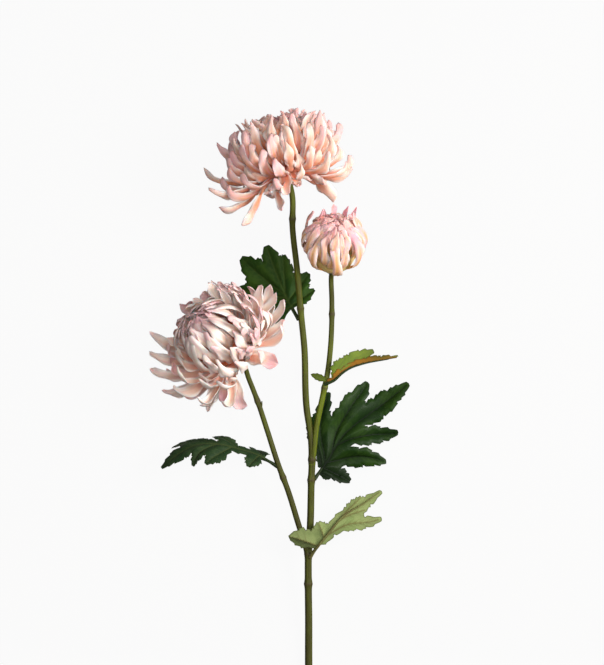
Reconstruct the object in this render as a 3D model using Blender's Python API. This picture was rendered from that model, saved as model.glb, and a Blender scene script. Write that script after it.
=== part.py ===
"""A spray of chrysanthemum laid on its side: two open blooms, a young bloom and five lobed leaves on one stem.

Metres, +Z up. The surface that the spray lies on is Z = 0, and +Y runs from the cut end towards the top bloom.
Every place is worked out in millimetres first, in the spray's own plan: x to the right, y up the stem from
where a photograph of it ends, z over the surface. ORIGIN is the plan's point that becomes the origin.
"""

import math
import random

import bmesh
import bpy
from mathutils import Matrix, Vector
from mathutils.geometry import delaunay_2d_cdt

# Driving dimensions, in millimetres
ORIGIN = Vector((-23.9, 177.3, 0.0))
STEM_RADIUS_AT_CUT = 2.9
STEM_RADIUS_AT_TOP = 2.1
BRANCH_RADIUS_AT_FORK = 2.2
BRANCH_RADIUS_AT_HEAD = 1.8
NODE_SWELL = 1.18
STEM_SIDES = 8
MAIN_STEM_RINGS = 44
BRANCH_RINGS = 22
PIECE_GAP = 0.35
CALYX_DEPTH = 7.0
CUP_RADIUS = 6.4
CUP_FOOT_RADIUS = 2.3
NECK_LENGTH = 6.0
NECK_GAP = 0.5
HEAD_SIDES = 12
BRACTS_IN_A_ROW = 7
BRACT_HALF_WIDTH = 2.0
BRACT_HALF_THICKNESS = 0.6
BRACT_SUNK = 1.5
PETAL_THICKNESS = 1.15
PETAL_CUP = math.radians(62)
PETAL_STEPS = 60
GOLDEN_ANGLE = 137.508
LEAF_THICKNESS = 0.8
RIB_DEPTH = 0.7
PETIOLE_HALF_WIDTH = 1.3
MIDRIB_POINTS = 41
RIPPLE_LENGTH = 7.0
RIPPLE_LAG = 2.0
RIPPLE_FULL_AT = 12.0
SHARP_ANGLE = math.radians(40)

# Where a petal has its sections, as shares of its length: one that curls through more than CURLED_FROM degrees
# has more of them. Its half-width is ROOT_SHARE of its widest at the root, widest from WIDEST_AT to BLUNT_FROM,
# and narrows by TIP_NARROWING to its end
CURLED_STATIONS = (0.0, 0.28, 0.53, 0.78, 1.0)
OPEN_STATIONS = (0.0, 0.4, 0.74, 1.0)
CURLED_FROM = 120
ROOT_SHARE = 0.45
WIDEST_AT = 0.62
BLUNT_FROM = 0.72
TIP_NARROWING = 0.55

# Petals that come near the surface are pressed: below PRESS_FROM they are lifted, ever closer to PRESS_TO
PRESS_FROM = 5.0
PRESS_TO = -0.6

# Colours, as linear red, green and blue
PETAL_COLOUR = (0.86, 0.62, 0.52)
STEM_COLOUR = (0.14, 0.17, 0.05)
DARK_LEAF_COLOUR = (0.03, 0.09, 0.03)
PALE_LEAF_COLOUR = (0.33, 0.42, 0.14)
CALYX_COLOUR = (0.12, 0.16, 0.04)

# Routes of the stem and its two branches, from the cut end up, as plan points
MAIN_ROUTE = (
    (1.5, -74, 3.0), (0.6, -38, 3.6), (0, 0, 5.2), (0, 35, 8.2), (-0.3, 62, 11.0), (-0.2, 85, 13.6),
    (1.2, 107, 16.0), (2, 141, 19.4), (2.5, 157, 21.0), (1.8, 175, 22.6), (-1.4, 196, 24.8), (-3.5, 246, 30.4),
    (-5.9, 270, 33.2), (-9, 305, 37.4), (-12.4, 336, 41.2),
)
LEFT_ROUTE = (
    (0, 82, 13.3), (-2.6, 92, 14.8), (-6.6, 104, 16.4), (-16.3, 135, 20.2), (-23.2, 153.4, 22.4),
    (-32.1, 181, 24.2), (-39.4, 203, 24.2), (-46, 220, 23.8),
)
RIGHT_ROUTE = (
    (2.4, 154, 20.6), (4.0, 166, 22.6), (5.8, 183, 24.4), (10.2, 204, 26.2), (14.7, 226, 27.6),
    (16.9, 246, 28.4), (17.8, 281, 28.8),
)
MAIN_JOINTS = (0.07, 0.184, 0.274, 0.303, 0.355, 0.483, 0.518, 0.78, 0.935)
BRANCH_JOINTS = (0.39, 0.76)


def clear_scene():
    for old in list(bpy.data.objects):
        bpy.data.objects.remove(old, do_unlink=True)


def material(name, colour, roughness):
    made = bpy.data.materials.new(name)
    made.use_nodes = True
    shader = made.node_tree.nodes["Principled BSDF"]
    shader.inputs["Base Color"].default_value = (*colour, 1.0)
    shader.inputs["Roughness"].default_value = roughness
    shader.inputs["Metallic"].default_value = 0.0
    return made


def blend(low, high, share):
    return low + (high - low) * share


def object_of(name, build, finish):
    """An object made from a bmesh in plan millimetres, with its faces pointing out."""
    bmesh.ops.triangulate(build, faces=build.faces)
    bmesh.ops.recalc_face_normals(build, faces=build.faces)
    bmesh.ops.translate(build, vec=-ORIGIN, verts=build.verts)
    bmesh.ops.scale(build, vec=(0.001, 0.001, 0.001), verts=build.verts)
    mesh = bpy.data.meshes.new(name)
    build.to_mesh(mesh)
    build.free()
    mesh.materials.append(finish)
    made = bpy.data.objects.new(name, mesh)
    bpy.context.scene.collection.objects.link(made)
    return made


def outer_shell(mesh):
    """Drops what a union leaves beside the body's own skin: the walls of sealed hollows, and loose scraps."""
    build = bmesh.new()
    build.from_mesh(mesh)
    unseen = set(build.faces)
    shells = []
    while unseen:
        shell = [unseen.pop()]
        for face in shell:
            near = {other for edge in face.edges for other in edge.link_faces} & unseen
            unseen -= near
            shell += near
        shells.append(shell)
    skin = set(max(shells, key=len))
    bmesh.ops.delete(build, geom=[face for face in build.faces if face not in skin], context="FACES")
    build.to_mesh(mesh)
    build.free()


def joined(name, core, pieces, solver):
    """One body: the core with every piece united to it by a single Boolean, which is applied."""
    group = bpy.data.collections.new(name + "_pieces")
    bpy.context.scene.collection.children.link(group)
    for piece in pieces:
        bpy.context.scene.collection.objects.unlink(piece)
        group.objects.link(piece)
    union = core.modifiers.new("union", "BOOLEAN")
    union.operation = "UNION"
    union.operand_type = "COLLECTION"
    union.collection = group
    union.solver = solver
    graph = bpy.context.evaluated_depsgraph_get()
    mesh = bpy.data.meshes.new_from_object(core.evaluated_get(graph))
    core.modifiers.clear()
    outer_shell(mesh)
    core.data = mesh
    core.name = name
    mesh.name = name
    for piece in list(group.objects):
        bpy.data.objects.remove(piece, do_unlink=True)
    bpy.data.collections.remove(group)
    return shaded(core)


def shaded(made):
    made.data.shade_smooth()
    made.data.set_sharp_from_angle(angle=SHARP_ANGLE)
    return made


# Stems

class Route:
    """One smooth curve through given points, read by share of its length."""

    def __init__(self, points):
        self.points = [Vector(point) for point in points]
        chords = [after - before for before, after in zip(self.points, self.points[1:])]
        self.lengths = [chord.length for chord in chords]
        headings = [chord.normalized() for chord in chords]
        self.tangents = [headings[0]]
        for k in range(1, len(chords)):
            mean = headings[k - 1] * self.lengths[k] + headings[k] * self.lengths[k - 1]
            self.tangents.append(mean.normalized())
        self.tangents.append(headings[-1])

    def at(self, share):
        left = share * sum(self.lengths)
        k = 0
        while k < len(self.lengths) - 1 and left > self.lengths[k]:
            left -= self.lengths[k]
            k += 1
        length = self.lengths[k]
        t = left / length
        low, high = self.points[k], self.points[k + 1]
        pull = self.tangents[k] * (t * (1 - t) ** 2) - self.tangents[k + 1] * (t * t * (1 - t))
        return low.lerp(high, t * t * (3 - 2 * t)) + pull * length

    def spread(self, count):
        return [self.at(k / (count - 1)) for k in range(count)]


def tube(name, points, radii, finish):
    """A closed tube through the points, with a radius for each."""
    build = bmesh.new()
    rings = []
    turn = 2 * math.pi / STEM_SIDES
    for k, centre in enumerate(points):
        along = (points[min(k + 1, len(points) - 1)] - points[max(k - 1, 0)]).normalized()
        side = along.cross(Vector((0, 0, 1))).normalized()
        up = side.cross(along)
        rings.append([
            build.verts.new(centre + radii[k] * (side * math.cos(turn * j) + up * math.sin(turn * j)))
            for j in range(STEM_SIDES)
        ])
    for low, high in zip(rings, rings[1:]):
        for j in range(STEM_SIDES):
            after = (j + 1) % STEM_SIDES
            build.faces.new((low[j], low[after], high[after], high[j]))
    build.faces.new(rings[0])
    build.faces.new(rings[-1])
    return object_of(name, build, finish)


def stem_tube(name, route, joints, radii, count, finish):
    """A stem of count rings that tapers along its route and swells at its joints, shares of its length."""
    shares = [k / (count - 1) for k in range(count)]
    swells = [1.0] * count
    for joint in joints:
        nearest = round(joint * (count - 1))
        shares[nearest] = joint
        swells[nearest] = NODE_SWELL
    route = Route(route)
    swollen = [blend(*radii, share) * swell for share, swell in zip(shares, swells)]
    return tube(name, [route.at(share) for share in shares], swollen, finish)


def branching_stem(heads, finish):
    """The main stem with its two side branches, grown together; each ends under its own flower head."""
    top, left, young = heads
    main_radii = (STEM_RADIUS_AT_CUT, STEM_RADIUS_AT_TOP)
    branch_radii = (BRANCH_RADIUS_AT_FORK, BRANCH_RADIUS_AT_HEAD)
    main = stem_tube("stem", [*MAIN_ROUTE, *top.neck()], MAIN_JOINTS, main_radii, MAIN_STEM_RINGS, finish)
    branches = [
        stem_tube("branch", [*route, *head.neck()], BRANCH_JOINTS, branch_radii, BRANCH_RINGS, finish)
        for route, head in ((LEFT_ROUTE, left), (RIGHT_ROUTE, young))
    ]
    return joined("stem", main, branches, "EXACT")


# Flower heads

class Head:
    """Where a flower head sits: its receptacle, its axis, and the directions that azimuths are counted in.

    Azimuth 0 faces up from the surface, 90 the right of the spray, 180 the surface and 270 the left. The petals
    at either side twist along their length, and turn their backs up by back_up degrees at their tips.
    """

    def __init__(self, base, axis, back_up):
        self.base = Vector(base)
        self.back_up = back_up
        self.axis = Vector(axis).normalized()
        up = Vector((0, 0, 1))
        self.up = (up - self.axis * up.dot(self.axis)).normalized()
        self.right = self.axis.cross(self.up)

    def outward(self, azimuth):
        turn = math.radians(azimuth)
        return self.up * math.cos(turn) + self.right * math.sin(turn)

    def point(self, azimuth, radius, height):
        return self.base + self.outward(azimuth) * radius + self.axis * height

    def neck(self):
        """The stem's last two points, which bring it along the axis to just under the calyx."""
        top = self.base - self.axis * (CALYX_DEPTH + NECK_GAP)
        return [top - self.axis * NECK_LENGTH, top]


class Petal:
    """A strap of a petal: its azimuth, its root as radius and height, and its angles from the head's axis.

    The three angles are those at its root, middle and tip: 0 runs up the axis, 90 straight out, 180 down the
    stem. The sway bends it sideways and the twist turns it about its length, by so many degrees at its tip.
    """

    def __init__(self, azimuth, root, angles, length, width, sway=0.0, twist=0.0):
        self.azimuth = azimuth
        self.root = root
        self.angles = angles
        self.length = length
        self.width = width
        self.sway = sway
        self.twist = twist
        self.stations = CURLED_STATIONS if angles[0] - angles[2] > CURLED_FROM else OPEN_STATIONS


def press(height):
    """The height, raised where it is near the surface or under it."""
    room = PRESS_FROM - PRESS_TO
    return height if height >= PRESS_FROM else PRESS_TO + room * math.exp((height - PRESS_FROM) / room)


def petal_spine(head, petal):
    """Places along the petal, with the side and the inner normal at each."""
    place = head.point(petal.azimuth, *petal.root)
    outward = head.outward(petal.azimuth)
    across = head.axis.cross(outward)
    a, b, c = (math.radians(angle) for angle in petal.angles)
    full_twist = math.radians(petal.twist - head.back_up * math.sin(math.radians(petal.azimuth)))
    step = petal.length / PETAL_STEPS
    spine = []
    for k in range(PETAL_STEPS + 1):
        s = k / PETAL_STEPS
        angle = a * (1 - s) * (1 - 2 * s) + b * 4 * s * (1 - s) + c * s * (2 * s - 1)
        along = head.axis * math.cos(angle) + outward * math.sin(angle)
        inner = head.axis * math.sin(angle) - outward * math.cos(angle)
        sway = Matrix.Rotation(math.radians(petal.sway) * s, 3, inner)
        twist = Matrix.Rotation(full_twist * s, 3, sway @ along)
        spine.append((place.copy(), twist @ sway @ across, twist @ inner))
        place = place + (sway @ along) * step
    return spine


def width_share(s):
    """Half-width of a petal along its length, as a share of its widest: narrow at its root, blunt at its tip."""
    swell = min(s / WIDEST_AT, 1.0)
    body = blend(ROOT_SHARE, 1.0, swell * swell * (3 - 2 * swell))
    tip = max(0.0, (s - BLUNT_FROM) / (1 - BLUNT_FROM))
    return body * (1 - TIP_NARROWING * tip * tip)


def petal_section(place, side, inner, half):
    """Four corners across a petal: its two raised edges and the two faces at its middle."""
    reach = half * math.sin(PETAL_CUP) / PETAL_CUP
    rise = half * (1 - math.cos(PETAL_CUP)) / PETAL_CUP
    skin = inner * (PETAL_THICKNESS / 2)
    edge = inner * rise
    corners = [place - side * reach + edge, place - skin, place + side * reach + edge, place + skin]
    lowest = min(corner.z for corner in corners)
    lift = Vector((0, 0, press(lowest) - lowest))
    return [corner + lift for corner in corners]


def petal_blade(head, petal, finish):
    """A closed blade with a V section, whose edges stand up towards its inner side."""
    spine = petal_spine(head, petal)
    build = bmesh.new()
    rows = []
    for s in petal.stations:
        place, side, inner = spine[round(s * PETAL_STEPS)]
        section = petal_section(place, side, inner, petal.width / 2 * width_share(s))
        rows.append([build.verts.new(corner) for corner in section])
    for low, high in zip(rows, rows[1:]):
        for k in range(4):
            build.faces.new((low[k], low[(k + 1) % 4], high[(k + 1) % 4], high[k]))
    build.faces.new(rows[0])
    build.faces.new(rows[-1])
    return object_of("petal", build, finish)


def turned(name, head, profile, finish):
    """A closed solid turned round the head's axis; the profile's first and last points lie on the axis."""
    sides = HEAD_SIDES
    build = bmesh.new()
    first = build.verts.new(head.point(0, 0, profile[0][1]))
    last = build.verts.new(head.point(0, 0, profile[-1][1]))
    rings = [
        [build.verts.new(head.point(360 * k / sides, radius, height)) for k in range(sides)]
        for radius, height in profile[1:-1]
    ]
    for k in range(sides):
        after = (k + 1) % sides
        build.faces.new((first, rings[0][k], rings[0][after]))
        build.faces.new((last, rings[-1][after], rings[-1][k]))
        for low, high in zip(rings, rings[1:]):
            build.faces.new((low[k], low[after], high[after], high[k]))
    return object_of(name, build, finish)


def egg_profile(height, radius, rings=5, first_ring=0.35, lean=0.8):
    """Half an egg's outline, from its foot on the axis to its top; lean under 1 puts its widest ring lower."""
    points = [(0.0, 0.0)]
    for k in range(rings):
        t = (k + first_ring) / rings
        points.append((radius * math.sin(math.pi * t ** lean), height * (1 - math.cos(math.pi * t)) / 2))
    return [*points, (0.0, height)]


def open_bloom_petals(seed, ball, ball_length, skirt, hand_placed):
    """Petals of an open bloom, innermost first: an incurved ball, a curled skirt, then the hand-placed ones."""
    draw = random.Random(seed)
    petals = []
    for k in range(ball):
        f = (k / (ball - 1)) ** 0.6
        petals.append(Petal(
            azimuth=k * GOLDEN_ANGLE + draw.uniform(-6, 6),
            root=(blend(1.5, 5.5, f), blend(22, 6, f)),
            angles=(blend(14, 101, f), blend(2, 14, f), blend(-60, -76, f) + draw.uniform(-10, 8)),
            length=blend(26, ball_length, f) * draw.uniform(0.92, 1.03),
            width=blend(8.0, 10.8, f) + draw.uniform(-0.4, 0.4),
            sway=draw.uniform(-12, 12),
            twist=draw.uniform(-12, 12),
        ))
    for k in range(skirt):
        f = k / (skirt - 1)
        petals.append(Petal(
            azimuth=(ball + k) * GOLDEN_ANGLE + draw.uniform(-7, 7),
            root=(blend(5.6, 6.5, f), blend(7.0, 4.2, f)),
            angles=(blend(95, 113, f), blend(32, 114, f), blend(-46, 22, f) + draw.uniform(-24, 12)),
            length=blend(60, 54, f) * draw.uniform(0.86, 1.03),
            width=blend(10.6, 9.6, f) + draw.uniform(-0.8, 0.5),
            sway=draw.uniform(-16, 16),
            twist=draw.uniform(-20, 20),
        ))
    return petals + [Petal(*row) for row in hand_placed]


def young_bloom_petals(seed, count):
    """Petals of a half-open bloom: all incurved into a ball, with every seventh tip flicking out."""
    draw = random.Random(seed)
    petals = []
    for k in range(count):
        f = (k / (count - 1)) ** 0.6
        flick = 68 if k % 7 == 6 else 0
        petals.append(Petal(
            azimuth=k * GOLDEN_ANGLE + draw.uniform(-5, 5),
            root=(blend(1.5, 5.0, f), blend(20, 4, f)),
            angles=(blend(14, 103, f), blend(0, 6, f), blend(-60, -94, f) + flick),
            length=blend(24, 57, f) + draw.uniform(-2, 1),
            width=blend(7.4, 11.6, f),
            sway=draw.uniform(-8, 8),
            twist=draw.uniform(-6, 6),
        ))
    return petals


def petal_head(name, head, core, petals, finish):
    """All the petals of one head, in one body, round a core that is smaller than they are."""
    middle = turned(name, head, core, finish)
    return joined(name, middle, [petal_blade(head, petal, finish) for petal in petals], "MANIFOLD")


def bract(head, azimuth, low, reach, out, finish):
    """A small pointed green scale, rooted at height low in a wall of radius reach, that stands out and up."""
    outward = head.outward(azimuth)
    root = head.point(azimuth, reach - BRACT_SUNK, low)
    side = head.axis.cross(outward) * BRACT_HALF_WIDTH
    skin = (outward - head.axis).normalized() * BRACT_HALF_THICKNESS
    build = bmesh.new()
    foot = [build.verts.new(root + corner) for corner in (-side - skin, side - skin, side + skin, skin - side)]
    point = build.verts.new(head.point(azimuth, reach + out * 0.8, low + out))
    for k in range(4):
        build.faces.new((foot[k], foot[(k + 1) % 4], point))
    build.faces.new(foot)
    return object_of("bract", build, finish)


def calyx(name, head, finish):
    """The green cup under a head, with two rows of small pointed bracts."""
    foot, rim, wide = -CALYX_DEPTH, -PIECE_GAP, CUP_RADIUS
    outline = (
        (0, foot), (CUP_FOOT_RADIUS, foot), (0.7 * wide, foot + 1.4), (wide, foot + 3.6), (wide, rim), (0, rim),
    )
    cup = turned(name, head, outline, finish)
    bracts = []
    for row, (low, reach, out) in enumerate(((foot + 1.2, 0.64 * wide, 3.6), (foot + 3.0, 0.94 * wide, 3.2))):
        for k in range(BRACTS_IN_A_ROW):
            azimuth = 360 * (k + row / 2 + 0.15) / BRACTS_IN_A_ROW
            bracts.append(bract(head, azimuth, low, reach, out, finish))
    return joined(name, cup, bracts, "MANIFOLD")


# Leaves

class Lobe:
    """A lobe of a leaf: where its vein leaves the midrib, the vein's angle to it, its length and half-width.

    The angle is positive to the left of the midrib, seen from the leaf's upper face.
    """

    def __init__(self, root, angle, length, half):
        self.root = root
        self.angle = angle
        self.length = length
        self.half = half

    def place(self, share, out):
        """The leaf's flat point at this share of the vein, and out to its left by a share of the half-width."""
        turn = math.radians(self.angle)
        along, across = self.length * share, self.half * out
        return Vector((
            self.root + along * math.cos(turn) - across * math.sin(turn),
            along * math.sin(turn) + across * math.cos(turn),
        ))


# One edge of a lobe, as shares of its length and of its half-width, with two teeth
LOBE_EDGE = ((0.04, 0.36), (0.28, 0.6), (0.5, 1.04), (0.54, 0.86), (0.71, 0.94), (0.75, 0.7), (0.89, 0.5))
VEIN_SHARES = (0.0, 0.3, 0.6, 0.85)


class Leaf:
    """A lobed leaf, bent through space.

    route holds the plan points that its midrib runs through, upper its upper face's normal at foot and tip,
    fold how far its left and right halves turn up towards the upper face, in degrees, and curl how much more
    they turn for each millimetre from the midrib. wave is the height of the ripple along its edges, and web the
    half-width of the strip of blade that runs along the midrib between the lobes.
    """

    def __init__(
        self, name, route, upper, lobes, fold=(0, 0), curl=(0, 0), wave=1.2, petiole=10.0, web=4.0
    ):
        self.name = name
        self.route = Route(route).spread(MIDRIB_POINTS)
        self.upper = (Vector(upper[0]).normalized(), Vector(upper[1]).normalized())
        self.lobes = [Lobe(*lobe) for lobe in lobes]
        self.fold = fold
        self.curl = curl
        self.wave = wave
        self.petiole = petiole
        self.web = web
        self.length = max(lobe.root + lobe.length for lobe in self.lobes if lobe.angle == 0)

    def place(self, u, v):
        """The middle surface's point at u along the midrib and v to its left."""
        share = min(max(u / self.length, 0.0), 1.0) * (len(self.route) - 1)
        k = min(int(share), len(self.route) - 2)
        low, high = self.route[k], self.route[k + 1]
        along = (self.route[min(k + 2, len(self.route) - 1)] - self.route[max(k - 1, 0)]).normalized()
        centre = low.lerp(high, share - k) + along * min(u, 0.0)
        upper = self.upper[0].lerp(self.upper[1], share / (len(self.route) - 1))
        upper = (upper - along * upper.dot(along)).normalized()
        left = upper.cross(along)
        side = 0 if v > 0 else 1
        turn = math.radians(self.fold[side] + self.curl[side] * abs(v) / 2)
        ripple = self.wave * math.sin(u / RIPPLE_LENGTH + side * RIPPLE_LAG) * min(abs(v) / RIPPLE_FULL_AT, 1.0)
        return centre + left * (v * math.cos(turn)) + upper * (abs(v) * math.sin(turn) + ripple)

    def normal(self, u, v):
        step = 0.4
        along = self.place(u + step, v) - self.place(u - step, v)
        across = self.place(u, v + step) - self.place(u, v - step)
        return along.cross(across).normalized()


def loops_to_edges(loops):
    """Points and edges of closed loops, as the triangulation wants them."""
    points, edges = [], []
    for loop in loops:
        first = len(points)
        points += loop
        edges += [(first + k, first + (k + 1) % len(loop)) for k in range(len(loop))]
    return points, edges


def rim_of(triangles):
    """The closed loop of point numbers round a patch of triangles."""
    sides = [(face[k], face[(k + 1) % 3]) for face in triangles for k in range(3)]
    known = set(sides)
    onward = {a: b for a, b in sides if (b, a) not in known}
    start = next(iter(onward))
    walk = [start]
    while onward[walk[-1]] != start:
        walk.append(onward[walk[-1]])
    return walk


def leaf_outline(leaf):
    """The leaf's outline: its lobes and petiole laid over each other and walked round once."""
    half = PETIOLE_HALF_WIDTH
    wide = leaf.web
    low, high = leaf.petiole, leaf.petiole + 6
    far = max(lobe.root for lobe in leaf.lobes) + 8
    loops = [
        [Vector(corner) for corner in ((0, -half), (high, -half), (high, half), (0, half))],
        [Vector(corner) for corner in ((low, 0), (high, -wide), (far, -wide), (far, wide), (high, wide))],
    ]
    for lobe in leaf.lobes:
        right = [lobe.place(share, -out) for share, out in LOBE_EDGE]
        left = [lobe.place(share, out) for share, out in reversed(LOBE_EDGE)]
        loops.append([*right, lobe.place(1, 0), *left])
    points, edges = loops_to_edges(loops)
    points, _, triangles, *_ = delaunay_2d_cdt(points, edges, [], 1, 0.01)
    outline = [points[k] for k in rim_of(triangles)]
    return [point for k, point in enumerate(outline) if (point - outline[k - 1]).length > 0.5]


def leaf_blade(leaf, finish):
    """A closed blade, split into triangles alike on both faces, with its veins raised under it."""
    outline = leaf_outline(leaf)
    points, edges = loops_to_edges([outline])
    for lobe in leaf.lobes:
        first = len(points)
        points += [lobe.place(share, 0) for share in VEIN_SHARES]
        edges += [(first + k, first + k + 1) for k in range(len(VEIN_SHARES) - 1)]
    rim_count = len(outline)
    points, _, triangles, origin, *_ = delaunay_2d_cdt(points, edges, [], 1, 0.3)
    on_vein = [bool(sources) and min(sources) >= rim_count for sources in origin]
    build = bmesh.new()
    faces = ([], [])
    for number, (u, v) in enumerate(points):
        place, normal = leaf.place(u, v), leaf.normal(u, v)
        rib = RIB_DEPTH * (1 - 0.7 * u / leaf.length) if on_vein[number] or u < leaf.petiole else 0.0
        faces[0].append(build.verts.new(place + normal * (LEAF_THICKNESS / 2)))
        faces[1].append(build.verts.new(place - normal * (LEAF_THICKNESS / 2 + rib)))
    for a, b, c in triangles:
        build.faces.new((faces[0][a], faces[0][b], faces[0][c]))
        build.faces.new((faces[1][c], faces[1][b], faces[1][a]))
    rim = rim_of(triangles)
    for a, b in zip(rim, rim[1:] + rim[:1]):
        build.faces.new((faces[0][b], faces[0][a], faces[1][a], faces[1][b]))
    return shaded(object_of(leaf.name, build, finish))


TOP_LEAF = Leaf(
    "top_leaf",
    route=((-8.9, 268, 30.6), (-16, 281, 25), (-21, 293, 20.5), (-27, 308, 18), (-32.5, 323, 16)),
    upper=((0.05, -0.15, 1), (-0.3, 0.1, 1)),
    lobes=(
        (18, 0, 44, 9.5), (21, 32, 47, 11), (18, 57, 42, 8.5), (14, 76, 38, 7.5), (10, 92, 22, 6),
        (22, -20, 30, 8), (15, -58, 27, 8), (10, -84, 22, 7),
    ),
    fold=(-23, -2),
    curl=(0.3, 0.2),
)
LEFT_LEAF = Leaf(
    "left_leaf",
    route=(
        (-26.2, 154, 22.5), (-37, 160.5, 24), (-52, 165.5, 25), (-70, 169.5, 26), (-88, 168.5, 26),
        (-103, 160, 25), (-113, 151, 23),
    ),
    upper=((0.3, 0.8, 0.55), (-0.25, 0.75, 0.65)),
    lobes=(
        (52, 0, 44, 7), (48, 34, 30, 6), (36, 46, 30, 7), (14, 70, 17, 7), (46, -26, 40, 6.5),
        (32, -46, 26, 7), (12, -78, 20, 8.5),
    ),
    fold=(-8, -16),
    curl=(-0.4, -0.9),
    wave=1.5,
)
BRACT_LEAF = Leaf(
    "bract_leaf",
    route=((15.5, 219.1, 25.2), (21, 225, 24.5), (36, 234.5, 23.5), (52, 239, 24), (70.5, 237.5, 22)),
    upper=((-0.3, 0.8, 0.55), (0.0, 0.85, 0.5)),
    lobes=((12, 0, 49, 6.5), (18, 30, 24, 5.5), (5, 100, 14, 4.5), (18, -30, 26, 6.5), (7, -80, 13, 5)),
    fold=(-6, 10),
    curl=(-0.5, 0.6),
    petiole=5.0,
)
RIGHT_LEAF = Leaf(
    "right_leaf",
    route=(
        (5.7, 144.6, 17.0), (13.5, 155.5, 13), (27.5, 177, 10.5), (41, 189, 9), (57, 200, 8), (77.5, 217, 10),
    ),
    upper=((0.1, -0.2, 1), (-0.1, 0.1, 1)),
    lobes=(
        (38, 0, 65, 8.5), (22, 20.5, 60, 8.5), (12, 40, 51, 6.2), (7, 46, 40, 5), (29, -28, 52, 7.5),
        (14, -46, 52, 8.5), (9, -80, 24, 6), (4, -82, 10, 3.5),
    ),
    fold=(-4, 2),
    curl=(0.1, -0.2),
    wave=1.8,
    web=3.5,
)
LOW_LEAF = Leaf(
    "low_leaf",
    route=(
        (2.1, 84.2, 16.9), (6.5, 90.5, 22), (15, 101, 25), (28, 115.5, 25), (42, 124, 23), (56.5, 134, 18),
    ),
    upper=((0.27, 0.42, -0.86), (0.2, -0.3, -1)),
    lobes=(
        (22, 0, 53, 5), (34, 12, 24, 4.5), (21, 23, 45, 5.5), (38, -14, 22, 3.5), (18, -60, 13, 7),
        (10, -104, 24, 8.5),
    ),
    fold=(8, -4),
    curl=(0.3, -0.5),
    wave=1.0,
)

# Petals placed by hand, which give each open bloom its outline. A row holds a Petal's values, in their order
TOP_BLOOM_ACCENTS = (
    (335, (6.5, 4.0), (100, 152, 158), 42, 9.0, 8, 10),
    (352, (6.5, 4.5), (96, 132, 176), 33, 9.5, 0, 0),
    (18, (6.5, 4.0), (100, 138, 150), 30, 9.0, 0, 0),
    (72, (6.5, 3.8), (108, 150, 128), 38, 12.0, 6, -10),
    (97, (6.5, 4.2), (114, 112, 42), 49, 8.5, 0, 0),
    (276, (6.5, 3.6), (110, 144, 120), 51, 9.0, 0, 20),
    (268, (6.5, 4.2), (108, 122, 56), 58, 8.5, 0, 0),
    (282, (6.5, 4.4), (104, 102, 40), 62, 9.0, 0, 0),
    (264, (6.5, 4.8), (98, 82, 22), 65, 9.0, 0, 0),
)
LEFT_BLOOM_ACCENTS = (
    (31, (6.5, 4.0), (112, 124, 121), 36, 12.0, 0, -10),
    (279, (6.5, 4.0), (102, 116, 104), 44, 9.5, 12, 0),
    (318, (6.5, 4.0), (104, 126, 132), 37, 9.0, 0, 0),
    (262, (6.5, 4.5), (100, 78, 24), 60, 10.0, 0, 0),
    (250, (6.5, 5.0), (96, 60, 6), 65, 10.5, 0, 0),
    (235, (6.5, 5.0), (90, 54, 6), 63, 10.5, 0, 0),
    (225, (6.0, 6.0), (80, 38, 0), 65, 10.5, 0, 0),
)

TOP_HEAD = Head((-16, 376.5, 44.5), (-0.22, 0.97, -0.06), 45)
LEFT_HEAD = Head((-59.1, 239.5, 31.5), (-0.59, 0.52, 0.6), -25)
YOUNG_HEAD = Head((18, 308, 37), (0.05, 0.72, 0.7), 30)


def main():
    clear_scene()
    petal = material("petal", PETAL_COLOUR, 0.55)
    stem_green = material("stem_green", STEM_COLOUR, 0.6)
    leaf_green = material("leaf_green", DARK_LEAF_COLOUR, 0.5)
    pale_green = material("pale_green", PALE_LEAF_COLOUR, 0.6)
    calyx_green = material("calyx_green", CALYX_COLOUR, 0.6)

    top_petals = open_bloom_petals(seed=11, ball=30, ball_length=62, skirt=42, hand_placed=TOP_BLOOM_ACCENTS)
    left_petals = open_bloom_petals(seed=5, ball=30, ball_length=66, skirt=38, hand_placed=LEFT_BLOOM_ACCENTS)
    young_petals = young_bloom_petals(seed=3, count=30)

    branching_stem((TOP_HEAD, LEFT_HEAD, YOUNG_HEAD), stem_green)
    petal_head("top_bloom", TOP_HEAD, egg_profile(height=38, radius=20), top_petals, petal)
    petal_head("left_bloom", LEFT_HEAD, egg_profile(height=38, radius=20), left_petals, petal)
    petal_head("young_bloom", YOUNG_HEAD, egg_profile(height=34, radius=17), young_petals, petal)
    for name, head in (("top_calyx", TOP_HEAD), ("left_calyx", LEFT_HEAD), ("young_calyx", YOUNG_HEAD)):
        calyx(name, head, calyx_green)
    for leaf in (TOP_LEAF, LEFT_LEAF, BRACT_LEAF, RIGHT_LEAF):
        leaf_blade(leaf, leaf_green)
    leaf_blade(LOW_LEAF, pale_green)


main()
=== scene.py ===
"""The looks of a cut chrysanthemum spray that lies on a pale surface, seen from straight above.

Every place is worked out in millimetres first, in the spray's own plan: x to the right, y up the stem from
where a photograph of it ends, z over the surface. to_frame() brings it into the frame, which is in metres.
"""

from __future__ import annotations

import logging
import math
import random
from dataclasses import dataclass, replace
from enum import Enum
from functools import reduce
from typing import Any, Iterable, Sequence

import bmesh
import bpy
import numpy as np
from mathutils import Matrix, Vector
from mathutils.geometry import delaunay_2d_cdt

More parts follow.
